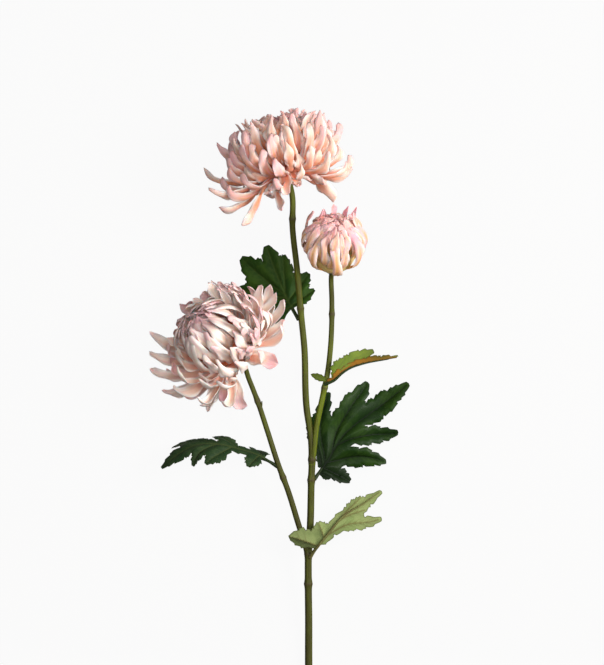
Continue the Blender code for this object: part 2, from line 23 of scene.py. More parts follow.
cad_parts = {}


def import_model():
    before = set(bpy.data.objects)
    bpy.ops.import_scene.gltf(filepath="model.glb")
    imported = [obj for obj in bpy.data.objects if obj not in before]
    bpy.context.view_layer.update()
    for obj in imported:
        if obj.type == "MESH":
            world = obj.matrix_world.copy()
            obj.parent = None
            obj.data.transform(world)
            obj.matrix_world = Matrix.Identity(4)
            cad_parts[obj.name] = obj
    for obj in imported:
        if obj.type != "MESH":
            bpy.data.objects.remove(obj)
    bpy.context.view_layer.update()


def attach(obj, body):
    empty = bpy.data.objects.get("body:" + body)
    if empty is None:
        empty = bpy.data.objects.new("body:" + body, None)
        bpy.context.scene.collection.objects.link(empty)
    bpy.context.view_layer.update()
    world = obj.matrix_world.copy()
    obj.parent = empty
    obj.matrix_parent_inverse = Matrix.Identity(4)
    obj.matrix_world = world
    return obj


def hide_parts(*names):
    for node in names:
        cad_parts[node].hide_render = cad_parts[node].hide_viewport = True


LOG = logging.getLogger("spray")

Triple = tuple[float, float, float]
Colour = tuple[float, float, float]
Socket = bpy.types.NodeSocket
NUMBER = "NodeSocketFloat"
TINT = "NodeSocketColor"
VECTOR = "NodeSocketVector"
Material = bpy.types.Material

MM = 0.001
ORIGIN = Vector((-23.9, 177.3, 0.0))
UP = Vector((0.0, 0.0, 1.0))
GOLDEN_ANGLE = 137.508
GOLDEN_SHARE = 0.618034
BODY = "root"


class Slot(Enum):
    """The record's material slots."""

    PETAL = "petal"
    STEM = "stem_green"
    CALYX = "calyx_green"
    LEAF = "leaf_green"
    PALE_LEAF = "pale_green"


def to_frame(point: Vector) -> Vector:
    """A point of the plan, in millimetres, as a place in the frame, in metres."""
    return (point - ORIGIN) * MM


def blend(low: float, high: float, share: float) -> float:
    """The number that lies this share of the way from low to high."""
    return low + (high - low) * share


def smooth(share: float) -> float:
    """A share from 0 to 1, eased in and out."""
    share = min(max(share, 0.0), 1.0)
    return share * share * (3 - 2 * share)


# Node trees


class Graph:
    """A node tree that is put together in code."""

    def __init__(self, tree: bpy.types.NodeTree) -> None:
        """Starts on a tree.

        Args:
            tree: The node tree that nodes are added to.
        """
        self.tree = tree

    def feed(self, socket: Socket, value: Any) -> None:
        """Links a socket to another one, or gives it a plain value; a colour gets full alpha.

        Args:
            socket: The input that gets it.
            value: A socket, a number, a colour or a vector.
        """
        if isinstance(value, Socket):
            self.tree.links.new(value, socket)
        else:
            socket.default_value = (*value, 1.0) if socket.type == "RGBA" else value

    def add(self, kind: str, inputs: dict[str | int, Any] | None = None, **settings: Any) -> bpy.types.Node:
        """Adds a node.

        Args:
            kind: The node's Blender type.
            inputs: What each of its inputs gets, by name or number.
            settings: The node's own settings.

        Returns:
            The new node.
        """
        node = self.tree.nodes.new(kind)
        for name, value in settings.items():
            setattr(node, name, value)
        for key, value in (inputs or {}).items():
            self.feed(node.inputs[key], value)
        return node

    def math(self, operation: str, *values: Any) -> Socket:
        """The result of a Math node."""
        return self.add("ShaderNodeMath", dict(enumerate(values)), operation=operation).outputs[0]

    def times(self, *values: Any) -> Socket:
        """The product of sockets and numbers."""
        return reduce(lambda first, second: self.math("MULTIPLY", first, second), values)

    def plus(self, *values: Any) -> Socket:
        """The sum of sockets and numbers."""
        return reduce(lambda first, second: self.math("ADD", first, second), values)

    def minus(self, first: Any, second: Any) -> Socket:
        """The first less the second."""
        return self.math("SUBTRACT", first, second)

    def vector(self, operation: str, *values: Any) -> Socket:
        """The vector that a Vector Math node gives."""
        node = self.add("ShaderNodeVectorMath", dict(enumerate(values)), operation=operation)
        return node.outputs["Vector"]

    def scaled(self, vector: Any, factor: Any) -> Socket:
        """A vector times a number."""
        inputs = {"Vector": vector, "Scale": factor}
        return self.add("ShaderNodeVectorMath", inputs, operation="SCALE").outputs["Vector"]

    def spread(self, value: Any, low: Any, high: Any, to_low: Any = 0.0, to_high: Any = 1.0) -> Socket:
        """A value taken smoothly from one range to another, and held at its ends."""
        inputs = dict(enumerate((value, low, high, to_low, to_high)))
        return self.add("ShaderNodeMapRange", inputs, interpolation_type="SMOOTHSTEP").outputs[0]

    def mix(self, factor: Any, first: Any, second: Any) -> Socket:
        """A colour between two colours."""
        return self.add("ShaderNodeMix", {0: factor, 6: first, 7: second}, data_type="RGBA").outputs[2]

    def noise(self, place: Any, scale: Any, detail: float = 2.0, roughness: float = 0.5) -> Socket:
        """A noise from 0 to 1."""
        inputs = {"Vector": place, "Scale": scale, "Detail": detail, "Roughness": roughness}
        return self.add("ShaderNodeTexNoise", inputs).outputs[0]

    def triple(self, x: Any, y: Any, z: Any) -> Socket:
        """A vector from three numbers."""
        return self.add("ShaderNodeCombineXYZ", {0: x, 1: y, 2: z}).outputs[0]


class GroupTree(Graph):
    """A node group with named inputs and outputs."""

    def __init__(self, name: str, kind: str, inputs: Sequence[tuple], outputs: Sequence[tuple]) -> None:
        """Makes the group and its sockets.

        Args:
            name: The group's name.
            kind: The tree's Blender type.
            inputs: Name, socket type and default of each input; a default of None is left as it is.
            outputs: Name and socket type of each output.
        """
        super().__init__(bpy.data.node_groups.new(name, kind))
        self.identifiers: dict[str, str] = {}
        interface = self.tree.interface
        for socket_name, socket_type, default in inputs:
            socket = interface.new_socket(name=socket_name, in_out="INPUT", socket_type=socket_type)
            self.identifiers[socket_name] = socket.identifier
            if default is not None:
                socket.default_value = default
        for socket_name, socket_type in outputs:
            interface.new_socket(name=socket_name, in_out="OUTPUT", socket_type=socket_type)
        self.given = self.tree.nodes.new("NodeGroupInput").outputs
        self.result = self.tree.nodes.new("NodeGroupOutput").inputs

    def place_in(self, graph: Graph, inputs: dict[str, Any]) -> bpy.types.NodeOutputs:
        """Puts the group into another tree.

        Args:
            graph: The tree that it goes into.
            inputs: What its inputs get, by name.

        Returns:
            The outputs of the new group node.
        """
        node = graph.tree.nodes.new(graph.tree.bl_idname.replace("NodeTree", "NodeGroup"))
        node.node_tree = self.tree
        for name, value in inputs.items():
            graph.feed(node.inputs[name], value)
        return node.outputs


class GrowthTree(GroupTree):
    """A geometry node group that grows a mesh over the points of another one."""

    def __init__(self, name: str, inputs: Sequence[tuple]) -> None:
        """Makes the group with a geometry input, its sizes and a finish.

        Args:
            name: The group's name.
            inputs: Name, socket type and default of each size.
        """
        super().__init__(
            name,
            "GeometryNodeTree",
            [("Guide", "NodeSocketGeometry", None), *inputs, ("Finish", "NodeSocketMaterial", None)],
            [("Grown", "NodeSocketGeometry")],
        )

    def named(self, name: str, data_type: str = "FLOAT") -> Socket:
        """The attribute of that name."""
        return self.add("GeometryNodeInputNamedAttribute", {"Name": name}, data_type=data_type).outputs[0]

    def store(self, geometry: Any, name: str, value: Any, data_type: str = "FLOAT") -> Socket:
        """The geometry with a value kept at each point under a name.

        Args:
            geometry: The geometry so far.
            name: The attribute's name.
            value: What each point keeps.
            data_type: The attribute's Blender type.

        Returns:
            The geometry with the attribute.
        """
        node = self.add("GeometryNodeStoreNamedAttribute", data_type=data_type, domain="POINT")
        for key, given in {"Geometry": geometry, "Name": name, "Value": value}.items():
            self.feed(node.inputs[key], given)
        return node.outputs[0]

    def finish(self, geometry: Any, weld: float = 5e-6) -> None:
        """Ends the tree: doubles merged, shaded smooth, all real, and with its finish on.

        Args:
            geometry: The grown geometry.
            weld: How far apart doubles may be, in metres.
        """
        whole = self.add("GeometryNodeMergeByDistance", {"Geometry": geometry, "Distance": weld}).outputs[0]
        shaded = self.add("GeometryNodeSetShadeSmooth", {"Geometry": whole}).outputs[0]
        real = self.add("GeometryNodeRealizeInstances", {"Geometry": shaded}).outputs[0]
        dressed = self.add("GeometryNodeSetMaterial", {"Geometry": real, "Material": self.given["Finish"]})
        self.feed(self.result["Grown"], dressed.outputs[0])

    def grow(self, name: str, guide: bpy.types.Mesh, **sizes: Any) -> bpy.types.Object:
        """Runs the tree once and keeps what it made as a plain mesh.

        Args:
            name: The new object's name.
            guide: The mesh whose points it grows over.
            sizes: The tree's inputs, by name with _ for each space.

        Returns:
            An object at the origin with the plain mesh.
        """
        grown = add_object(name, guide)
        modifier = grown.modifiers.new("growth", "NODES")
        modifier.node_group = self.tree
        for key, value in sizes.items():
            modifier[self.identifiers[key.replace("_", " ")]] = value
        graph = bpy.context.evaluated_depsgraph_get()
        mesh = bpy.data.meshes.new_from_object(grown.evaluated_get(graph), depsgraph=graph)
        grown.modifiers.remove(modifier)
        grown.data = mesh
        mesh.name = name
        point_out(mesh)
        return grown


# Meshes and objects


def add_object(name: str, mesh: bpy.types.Mesh) -> bpy.types.Object:
    """A new object in the scene, at the origin, with this mesh.

    Args:
        name: The object's name.
        mesh: Its mesh.

    Returns:
        The object.
    """
    made = bpy.data.objects.new(name, mesh)
    bpy.context.scene.collection.objects.link(made)
    return made


def point_out(mesh: bpy.types.Mesh) -> None:
    """Turns the faces of each closed shell outwards.

    Args:
        mesh: The mesh, which is changed in place.
    """
    build = bmesh.new()
    build.from_mesh(mesh)
    bmesh.ops.recalc_face_normals(build, faces=build.faces)
    build.to_mesh(mesh)
    build.free()


def guide_mesh(
    name: str, columns: dict[str, Sequence], edges: Sequence[tuple[int, int]] = ()
) -> bpy.types.Mesh:
    """A mesh of points that carry attributes.

    Args:
        name: The mesh's name.
        columns: The values at each point, by attribute. "place" holds the points.
        edges: Pairs of points that are joined.

    Returns:
        The mesh.
    """
    mesh = bpy.data.meshes.new(name)
    mesh.from_pydata([tuple(place) for place in columns["place"]], list(edges), [])
    for key, values in columns.items():
        if key == "place":
            continue
        flat = np.array([tuple(v) if isinstance(v, Vector) else v for v in values], np.float32)
        kind, field = ("FLOAT_VECTOR", "vector") if flat.ndim == 2 else ("FLOAT", "value")
        mesh.attributes.new(key, kind, "POINT").data.foreach_set(field, flat.ravel())
    return mesh


def register(piece: bpy.types.Object, slot: Slot, *nodes: str) -> bpy.types.Object:
    """Hands a finished piece to the frame.

    Args:
        piece: The finished object.
        slot: The material slot that its finish belongs to; not used.
        nodes: The nodes of the part that it stands for.

    Returns:
        The same piece.
    """
    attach(piece, BODY)
    if nodes:
        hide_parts(*nodes)
    piece.data.calc_loop_triangles()
    LOG.info("%s: %d triangles", piece.name, len(piece.data.loop_triangles))
    return piece


# Finishes

# Colours that more than one finish uses, as linear red, green and blue
CORAL = (0.85, 0.26, 0.13)
PINK = (0.82, 0.42, 0.47)
BARK = (0.06, 0.04, 0.018)
WHITE = (1.0, 1.0, 1.0)


class SharedGroups:
    """The shader groups that more than one material uses, each built once."""

    def __init__(self) -> None:
        """Builds the groups."""
        self.mottle = self.build_mottle()
        self.blush = self.build_blush()
        self.grain = self.build_grain()

    @staticmethod
    def build_mottle() -> GroupTree:
        """Soft patches of a second colour.

        Returns:
            The group.
        """
        tree = GroupTree(
            "mottle",
            "ShaderNodeTree",
            [
                ("Place", VECTOR, None),
                ("Colour", TINT, None),
                ("Patches", TINT, None),
                ("Scale", NUMBER, 200.0),
                ("Amount", NUMBER, 0.5),
            ],
            [("Colour", TINT)],
        )
        given = tree.given
        patches = tree.spread(tree.noise(given["Place"], given["Scale"], 4.0, 0.6), 0.35, 0.7)
        amount = tree.times(patches, given["Amount"])
        tree.feed(tree.result["Colour"], tree.mix(amount, given["Colour"], given["Patches"]))
        return tree

    @staticmethod
    def build_blush() -> GroupTree:
        """A petal's colours along its length: deep at the root, pale in the middle, pink at the tip; paler
        at its edges, partly a painted highlight, and darker deep inside the bloom's ball, a painted shade of
        the hollows between petals.

        Returns:
            The group.
        """
        tree = GroupTree(
            "petal_blush",
            "ShaderNodeTree",
            [
                ("Along", NUMBER, 0.5), ("Across", NUMBER, 0.0), ("Inside", NUMBER, 0.0),
                ("Tone", NUMBER, 0.5), ("Root", TINT, None), ("Lower", TINT, None),
                ("Upper", TINT, None), ("Tip", TINT, None), ("Rim", TINT, None),
                ("Root Reach", NUMBER, 0.42), ("Groove", NUMBER, 0.2), ("Blush", NUMBER, 0.4),
                ("Depth", NUMBER, 0.0), ("Rosy", NUMBER, 0.3),
            ],
            [("Colour", TINT), ("Streaks", NUMBER)],
        )
        given = tree.given
        tone = given["Tone"]
        lane = tree.triple(
            tree.times(given["Along"], 1.6),
            tree.times(given["Across"], 7.0),
            tree.times(tone, 37.0),
        )
        streaks = tree.noise(lane, 1.0, 3.0, 0.6)
        along = tree.plus(given["Along"], tree.times(tree.minus(streaks, 0.5), 0.35))
        inside = tree.math("MAXIMUM", given["Inside"], 0.0)
        reach = tree.plus(given["Root Reach"], tree.times(inside, 0.10))
        lower = tree.mix(tree.spread(along, tree.times(reach, 0.25), reach), given["Root"], given["Lower"])
        upper = tree.mix(
            tree.spread(along, tree.minus(reach, 0.08), tree.plus(reach, 0.3)), lower, given["Upper"]
        )
        sideways = tree.math("ABSOLUTE", given["Across"])
        valley = tree.spread(sideways, 0.04, 0.5, 1.0, 0.0)
        fading = tree.spread(given["Along"], 0.35, 1.0, 1.0, 0.25)
        groove = tree.times(valley, fading, given["Groove"])
        grooved = tree.mix(groove, upper, given["Lower"])
        # Paler towards the edges: partly the petals' own pale edges, partly a painted highlight on their
        # rolled edges
        pale_and_lit_rim = tree.mix(tree.spread(sideways, 0.4, 0.95, 0.0, 0.85), grooved, given["Rim"])
        # Painted shade: deeper inside the ball the colour darkens towards Lower and then Root, where the
        # hollows between petals fall in shade
        shaded = tree.mix(tree.spread(given["Depth"], 0.0, 0.7, 0.0, 0.9), pale_and_lit_rim, given["Lower"])
        painted_hollow_shade = tree.mix(tree.spread(given["Depth"], 0.5, 1.0), shaded, given["Root"])
        patches = tree.noise(tree.vector("ADD", lane, (9.0, 3.0, 5.0)), 0.55, 2.0)
        amount = tree.times(tree.plus(given["Rosy"], 0.5), given["Blush"])
        blushed = tree.mix(tree.times(tree.spread(patches, 0.45, 0.7), amount), painted_hollow_shade, given["Tip"])
        start = tree.minus(0.82, tree.times(given["Rosy"], 0.4))
        strength = tree.plus(tree.times(given["Rosy"], 0.7), tree.times(tone, 0.4))
        pinkness = tree.times(tree.spread(along, start, tree.plus(start, 0.3)), strength)
        tree.feed(tree.result["Colour"], tree.mix(pinkness, blushed, given["Tip"]))
        tree.feed(tree.result["Streaks"], streaks)
        return tree

    @staticmethod
    def build_grain() -> GroupTree:
        """A fine uneven height for soft plant skin.

        Returns:
            The group.
        """
        tree = GroupTree(
            "skin_grain",
            "ShaderNodeTree",
            [("Place", VECTOR, None), ("Scale", NUMBER, 900.0)],
            [("Height", NUMBER)],
        )
        place, scale = tree.given["Place"], tree.given["Scale"]
        cells = tree.add(
            "ShaderNodeTexVoronoi", {"Vector": place, "Scale": scale}, feature="F1"
        ).outputs["Distance"]
        soft = tree.noise(place, tree.times(scale, 0.35), 3.0)
        tree.feed(tree.result["Height"], tree.plus(tree.times(cells, 0.6), soft))
        return tree


class Finish:
    """A material that is put together in code, with its Principled BSDF in hand."""

    def __init__(self, name: str, groups: SharedGroups) -> None:
        """Makes an empty material.

        Args:
            name: The material's name.
            groups: The shader groups that it may use.
        """
        self.material = bpy.data.materials.new(name)
        self.material.use_nodes = True
        self.graph = Graph(self.material.node_tree)
        self.shader = self.material.node_tree.nodes["Principled BSDF"]
        self.groups = groups
        self.place = self.graph.add("ShaderNodeTexCoord").outputs["Object"]

    def attribute(self, name: str) -> Socket:
        """The number that the mesh holds under this name."""
        return self.graph.add("ShaderNodeAttribute", attribute_name=name).outputs["Fac"]

    def set(self, **values: Any) -> None:
        """Sets or links inputs of the shader, by name with _ for each space."""
        for key, value in values.items():
            self.graph.feed(self.shader.inputs[key.replace("_", " ")], value)

    def bump(self, height: Socket, distance: float, strength: float = 1.0) -> None:
        """Gives the shader a fine relief.

        Args:
            height: The relief's height, from 0 to 1.
            distance: How high 1 stands, in metres.
            strength: How much of it shows.
        """
        inputs = {"Height": height, "Distance": distance, "Strength": strength}
        self.set(Normal=self.graph.add("ShaderNodeBump", inputs).outputs["Normal"])


@dataclass(frozen=True)
class PetalFinish:
    """Soft matt petal skin, which lets some light through."""

    name: str
    root: Colour
    lower: Colour
    upper: Colour
    tip: Colour
    # rim is the edges' colour: partly their own pale tone, partly a painted highlight
    rim: Colour
    root_reach: float
    groove: float = 0.18
    blush: float = 0.4

    def material(self, groups: SharedGroups) -> Material:
        """Builds the material.

        Args:
            groups: The shared shader groups.

        Returns:
            The material.
        """
        finish = Finish(self.name, groups)
        graph = finish.graph
        blush = groups.blush.place_in(graph, {
            "Along": finish.attribute("along"),
            "Across": finish.attribute("across"),
            "Inside": finish.attribute("inside"),
            "Tone": finish.attribute("tone"),
            "Root": self.root,
            "Lower": self.lower,
            "Upper": self.upper,
            "Tip": self.tip,
            "Rim": self.rim,
            "Root Reach": self.root_reach,
            "Groove": self.groove,
            "Blush": self.blush,
            # Depth carries the painted shade of the hollows between petals
            "Depth": finish.attribute("deep"),
            "Rosy": finish.attribute("rosy"),
        })
        colour = groups.mottle.place_in(graph, {
            "Place": finish.place,
            "Colour": blush["Colour"],
            "Patches": self.lower,
            "Scale": 90.0,
            "Amount": 0.22,
        })["Colour"]
        finish.set(
            Base_Color=colour,
            Roughness=graph.spread(blush["Streaks"], 0.2, 0.8, 0.42, 0.62),
            Subsurface_Weight=0.35,
            Subsurface_Scale=0.0012,
            Subsurface_Radius=(1.0, 0.5, 0.35),
            Sheen_Weight=0.04,
            Sheen_Roughness=0.5,
            Specular_IOR_Level=0.3,
        )
        grain = groups.grain.place_in(graph, {"Place": finish.place, "Scale": 1400.0})["Height"]
        finish.bump(graph.plus(blush["Streaks"], graph.times(grain, 0.25)), 0.0003, 0.7)
        return finish.material


@dataclass(frozen=True)
class LeafFinish:
    """A leaf with a satin upper face, a paler matt underside, veins in a colour of their own and a crease
    colour along them, which is painted shade in the folds where it is darker than the blade.

    near and far are both faces' colours below near_to and beyond far_from, as shares of the midrib's length.
    """

    name: str
    upper: Colour
    upper_patches: Colour
    under: Colour
    under_patches: Colour
    upper_crease: Colour
    upper_vein: Colour
    under_vein: Colour
    rim: Colour
    near: Colour = (0.0, 0.0, 0.0)
    near_to: float = -2.0
    far: Colour = (0.0, 0.0, 0.0)
    far_from: float = 2.0
    roughness: float = 0.5

    def material(self, groups: SharedGroups) -> Material:
        """Builds the material.

        Args:
            groups: The shared shader groups.

        Returns:
            The material.
        """
        finish = Finish(self.name, groups)
        graph = finish.graph
        underside = graph.spread(finish.attribute("inside"), -0.5, 0.5, 1.0, 0.0)
        faces = []
        for base, patches in ((self.upper, self.upper_patches), (self.under, self.under_patches)):
            faces.append(groups.mottle.place_in(graph, {
                "Place": finish.place,
                "Colour": base,
                "Patches": patches,
                "Scale": 70.0,
                "Amount": 0.9,
            })["Colour"])
        along = finish.attribute("along")
        before = graph.spread(along, self.near_to - 0.14, self.near_to + 0.14, 0.9, 0.0)
        beyond = graph.spread(along, self.far_from - 0.14, self.far_from + 0.14)
        blade = graph.mix(before, graph.mix(underside, faces[0], faces[1]), self.near)
        blade = graph.mix(beyond, blade, self.far)
        vein = graph.mix(underside, self.upper_vein, self.under_vein)
        # Crease colour along the veins: on the dark, dusky and green leaves it is darker than the blade,
        # painted shade in the folds; on the pale and bract leaves it is lighter
        crease_colour = graph.mix(underside, self.upper_crease, self.under_patches)
        creased = graph.mix(graph.times(finish.attribute("crease"), 0.6), blade, crease_colour)
        veined = graph.mix(graph.times(finish.attribute("vein"), 0.8), creased, vein)
        edged = graph.mix(graph.times(finish.attribute("rim"), 0.7), veined, self.rim)
        grain = groups.grain.place_in(graph, {"Place": finish.place, "Scale": 1600.0})["Height"]
        matt = graph.spread(underside, 0.0, 1.0, self.roughness, self.roughness + 0.22)
        finish.set(
            Base_Color=edged,
            Roughness=graph.plus(matt, graph.times(finish.attribute("crease"), 0.3)),
            Specular_IOR_Level=0.15,
        )
        finish.bump(grain, 0.00008, 0.5)
        return finish.material


@dataclass(frozen=True)
class StemFinish:
    """Ridged green stem skin, browner where it is old and at its nodes."""

    name: str
    young: Colour
    old: Colour
    knot: Colour

    def material(self, groups: SharedGroups) -> Material:
        """Builds the material.

        Args:
            groups: The shared shader groups.

        Returns:
            The material.
        """
        finish = Finish(self.name, groups)
        graph = finish.graph
        along = graph.add("ShaderNodeMapping", {"Vector": finish.place, "Scale": (1.0, 0.12, 1.0)})
        fibres = graph.noise(along.outputs[0], 900.0, 3.0, 0.6)
        age = graph.plus(finish.attribute("age"), graph.times(graph.minus(fibres, 0.5), 0.5))
        skin = graph.mix(graph.spread(age, 0.0, 1.0), self.old, self.young)
        mottled = groups.mottle.place_in(graph, {
            "Place": along.outputs[0],
            "Colour": skin,
            "Patches": self.old,
            "Scale": 200.0,
            "Amount": 0.8,
        })["Colour"]
        finish.set(
            Base_Color=graph.mix(finish.attribute("knot"), mottled, self.knot),
            Roughness=graph.spread(fibres, 0.2, 0.8, 0.45, 0.7),
            Specular_IOR_Level=0.2,
        )
        finish.bump(fibres, 0.0004, 0.8)
        return finish.material


# Curves and heads


class Route:
    """One smooth curve through given points of the plan, read by share of its length."""

    def __init__(self, points: Iterable[Sequence[float]]) -> None:
        """Fits the curve.

        Args:
            points: The points that it runs through, in order.
        """
        self.points = [Vector(point) for point in points]
        chords = [after - before for before, after in zip(self.points, self.points[1:])]
        self.lengths = [chord.length for chord in chords]
        headings = [chord.normalized() for chord in chords]
        self.tangents = [headings[0]]
        for k in range(1, len(chords)):
            mean = headings[k - 1] * self.lengths[k] + headings[k] * self.lengths[k - 1]
            self.tangents.append(mean.normalized())
        self.tangents.append(headings[-1])

    @property
    def length(self) -> float:
        """The sum of the chords, in millimetres."""
        return sum(self.lengths)

    def at(self, share: float) -> Vector:
        """The point this share of the way along.

        Args:
            share: From 0 at the curve's start to 1 at its end.

        Returns:
            The point there.
        """
        left = share * self.length
        k = 0
        while k < len(self.lengths) - 1 and left > self.lengths[k]:
            left -= self.lengths[k]
            k += 1
        t = left / self.lengths[k]
        pull = self.tangents[k] * (t * (1 - t) ** 2) - self.tangents[k + 1] * (t * t * (1 - t))
        return self.points[k].lerp(self.points[k + 1], t * t * (3 - 2 * t)) + pull * self.lengths[k]

    def spread(self, count: int) -> list[Vector]:
        """So many points from end to end."""
        return [self.at(k / (count - 1)) for k in range(count)]


@dataclass(frozen=True)
class Head:
    """Where a flower head sits: its receptacle, its axis and how far its side petals turn their backs up.

    Azimuth 0 faces up from the surface, 90 the right of the spray, 180 the surface and 270 the left.
    """

    base: Triple
    axis_along: Triple
    back_up: float
    calyx_depth: float = 7.0
    neck_length: float = 6.0
    neck_gap: float = 0.5

    @property
    def axis(self) -> Vector:
        """The direction from the stem to the middle of the bloom."""
        return Vector(self.axis_along).normalized()

    def outward(self, azimuth: float) -> Vector:
        """The direction away from the axis at an azimuth.

        Args:
            azimuth: The azimuth in degrees.

        Returns:
            The direction, one unit long.
        """
        up = (UP - self.axis * UP.dot(self.axis)).normalized()
        turn = math.radians(azimuth)
        return up * math.cos(turn) + self.axis.cross(up) * math.sin(turn)

    def point(self, azimuth: float, radius: float, height: float) -> Vector:
        """The plan point at an azimuth, a distance from the axis and a height over the receptacle."""
        return Vector(self.base) + self.outward(azimuth) * radius + self.axis * height

    def neck(self) -> list[Vector]:
        """The stem's last points, which bring it along the axis into the calyx."""
        top = Vector(self.base) - self.axis * (self.calyx_depth + self.neck_gap)
        return [top - self.axis * self.neck_length, top, top + self.axis * 3.0]


@dataclass(frozen=True)
class Press:
    """How petals that come near the surface are lifted, ever closer to the lowest height."""

    start: float = 5.0
    lowest: float = -0.6

    def lift(self, height: float) -> float:
        """How far up a point at this height goes.

        Args:
            height: The point's height in millimetres.

        Returns:
            The lift in millimetres.
        """
        if height >= self.start:
            return 0.0
        room = self.start - self.lowest
        return self.lowest + room * math.exp((height - self.start) / room) - height


PRESS = Press()


# Petals

# A petal's width and cup at its root, as shares of those in its middle
ROOT_WIDTH = 0.45
ROOT_CUP = 1.15
# Where along its length a petal is broad, and where it starts to narrow, to round off, to hood and to hook
BROAD_AT = 0.62
NARROW_FROM = 0.66
ROUND_FROM = 0.84
HOOD_FROM = 0.72
HOOK_FROM = 0.74
# How petals keep clear of the surface, and the half-width from which their relief is full, in millimetres
SKIN_CLEARANCE = 0.4
FULL_RELIEF_FROM = 1.4
SPINE_STEPS = 100
# How a blade's rows crowd towards its tip, and the share of its length at which the second one lies
ROW_POWER = 0.66
SECOND_ROW = 0.01


@dataclass(frozen=True)
class Petal:
    """A strap of a petal: its azimuth, its root as radius and height, and its angles from the head's axis.

    The three angles are those at its root, middle and tip: 0 runs up the axis, 90 straight out, 180 down the
    stem. The sway bends it sideways and the twist turns it about its length, by so many degrees at its tip.
    The hook is how far its last bit curls in besides. The cup is half the arc that its section spans, the
    hood how much more it spans at the tip, and the point how far it narrows there. rosy says how pink it is,
    and fold how deep the groove along its back is; below 0 it is a ridge.
    """

    azimuth: float
    root: tuple[float, float]
    angles: Triple
    length: float
    width: float
    sway: float = 0.0
    twist: float = 0.0
    hook: float = 0.0
    cup: float = 58.0
    hood: float = 24.0
    point: float = 0.4
    rosy: float = 0.3
    fold: float = 1.0

    @property
    def hides_stem(self) -> bool:
        """Whether it hangs over the top of the stem, on the side that faces up."""
        return abs((self.azimuth + 180) % 360 - 180) < 20 and self.angles[1] > 90

    def half_width(self, s: float) -> float:
        """Half its width at a share of its length: narrow at the root, broad, and round at the tip.

        Args:
            s: The share, from 0 at the root to 1 at the tip.

        Returns:
            The half-width in millimetres.
        """
        body = blend(ROOT_WIDTH, 1.0, smooth(s / BROAD_AT))
        narrowing = 1 - self.point * max(0.0, (s - NARROW_FROM) / (1 - NARROW_FROM)) ** 1.6
        rounding = max(0.0, (s - ROUND_FROM) / (1 - ROUND_FROM))
        return self.width / 2 * body * narrowing * math.sqrt(max(0.0, 1 - rounding ** 2.2))

    def half_arc(self, s: float) -> float:
        """Half the arc that its section spans there, in radians."""
        cup = self.cup * blend(ROOT_CUP, 1.0, smooth(s / 0.5))
        return math.radians(cup + self.hood * smooth((s - HOOD_FROM) / (1 - HOOD_FROM)))


@dataclass(frozen=True)
class Ball:
    """The ball that a head's inner petals form: its middle, and the radii of its heart and its outside."""

    middle: Vector
    inner: float
    outer: float

    def depth(self, place: Vector) -> float:
        """How deep inside the ball a plan point lies: 1 in its heart, 0 on its outside and beyond."""
        return 1.0 - smooth(((place - self.middle).length - self.inner) / (self.outer - self.inner))


class BladeSheet:
    """Collects the spines of blades, all of a row count, as points with attributes."""

    KEYS = ("place", "side", "inner", "half", "cup", "thin", "tone", "deep", "rosy", "fold")

    def __init__(self, ball: Ball, rows: int = 24) -> None:
        """Starts an empty sheet.

        Args:
            ball: The ball that says how deep inside the bloom a point lies.
            rows: How many points each spine has.
        """
        self.ball = ball
        self.rows = rows
        self.columns: dict[str, list] = {key: [] for key in self.KEYS}

    def shares(self) -> list[float]:
        """Where the rows lie along a blade: closer together towards its tip."""
        inner = [(k / (self.rows - 2)) ** ROW_POWER for k in range(self.rows - 1)]
        return [0.0, *[SECOND_ROW + (1 - SECOND_ROW) * share for share in inner]]

    def add(self, head: Head, petal: Petal, tone: float, press: Press = PRESS) -> None:
        """Works out one blade's spine and adds it.

        Args:
            head: The head that it grows from.
            petal: Its sizes.
            tone: A number from 0 to 1 that sets its tint apart.
            press: How it is lifted off the surface.
        """
        place = head.point(petal.azimuth, *petal.root)
        outward = head.outward(petal.azimuth)
        across = head.axis.cross(outward)
        a, b, c = (math.radians(angle) for angle in petal.angles)
        full_twist = math.radians(petal.twist - head.back_up * math.sin(math.radians(petal.azimuth)))
        step = petal.length / SPINE_STEPS
        spine = []
        for k in range(SPINE_STEPS + 1):
            s = k / SPINE_STEPS
            angle = a * (1 - s) * (1 - 2 * s) + b * 4 * s * (1 - s) + c * s * (2 * s - 1)
            angle -= math.radians(petal.hook) * smooth((s - HOOK_FROM) / (1 - HOOK_FROM))
            along = head.axis * math.cos(angle) + outward * math.sin(angle)
            inner = head.axis * math.sin(angle) - outward * math.cos(angle)
            sway = Matrix.Rotation(math.radians(petal.sway) * s, 3, inner)
            twist = Matrix.Rotation(full_twist * s, 3, sway @ along)
            spine.append((place.copy(), twist @ sway @ across, twist @ inner))
            place = place + (sway @ along) * step
        for s in self.shares():
            self.add_row(spine[min(round(s * SPINE_STEPS), SPINE_STEPS)], petal, s, tone, press)

    def add_row(self, row: tuple, petal: Petal, s: float, tone: float, press: Press) -> None:
        """Adds the point at a share of a blade's length.

        Args:
            row: The spine's place, side and inner normal there.
            petal: The blade's sizes.
            s: The share of its length.
            tone: Its tint.
            press: How it is lifted off the surface.
        """
        place, side, inner = row
        half = petal.half_width(s) if s > 0 else 0.0
        cup = petal.half_arc(s)
        reach, rise = half * math.sin(cup) / cup, half * (1 - math.cos(cup)) / cup
        lowest = min(place.z, *((place + side * sign * reach + inner * rise).z for sign in (-1, 1)))
        place = place + UP * press.lift(lowest - SKIN_CLEARANCE)
        # deep, how far inside the bloom's ball the point lies, drives the painted shade of the hollows
        # between petals
        values = (
            to_frame(place), side, inner, half * MM, cup, min(1.0, half / FULL_RELIEF_FROM), tone,
            self.ball.depth(place), petal.rosy, petal.fold,
        )
        for key, value in zip(self.KEYS, values):
            self.columns[key].append(value)

    def guide(self, name: str) -> bpy.types.Mesh:
        """All the spines as one mesh of points."""
        return guide_mesh(name, self.columns)


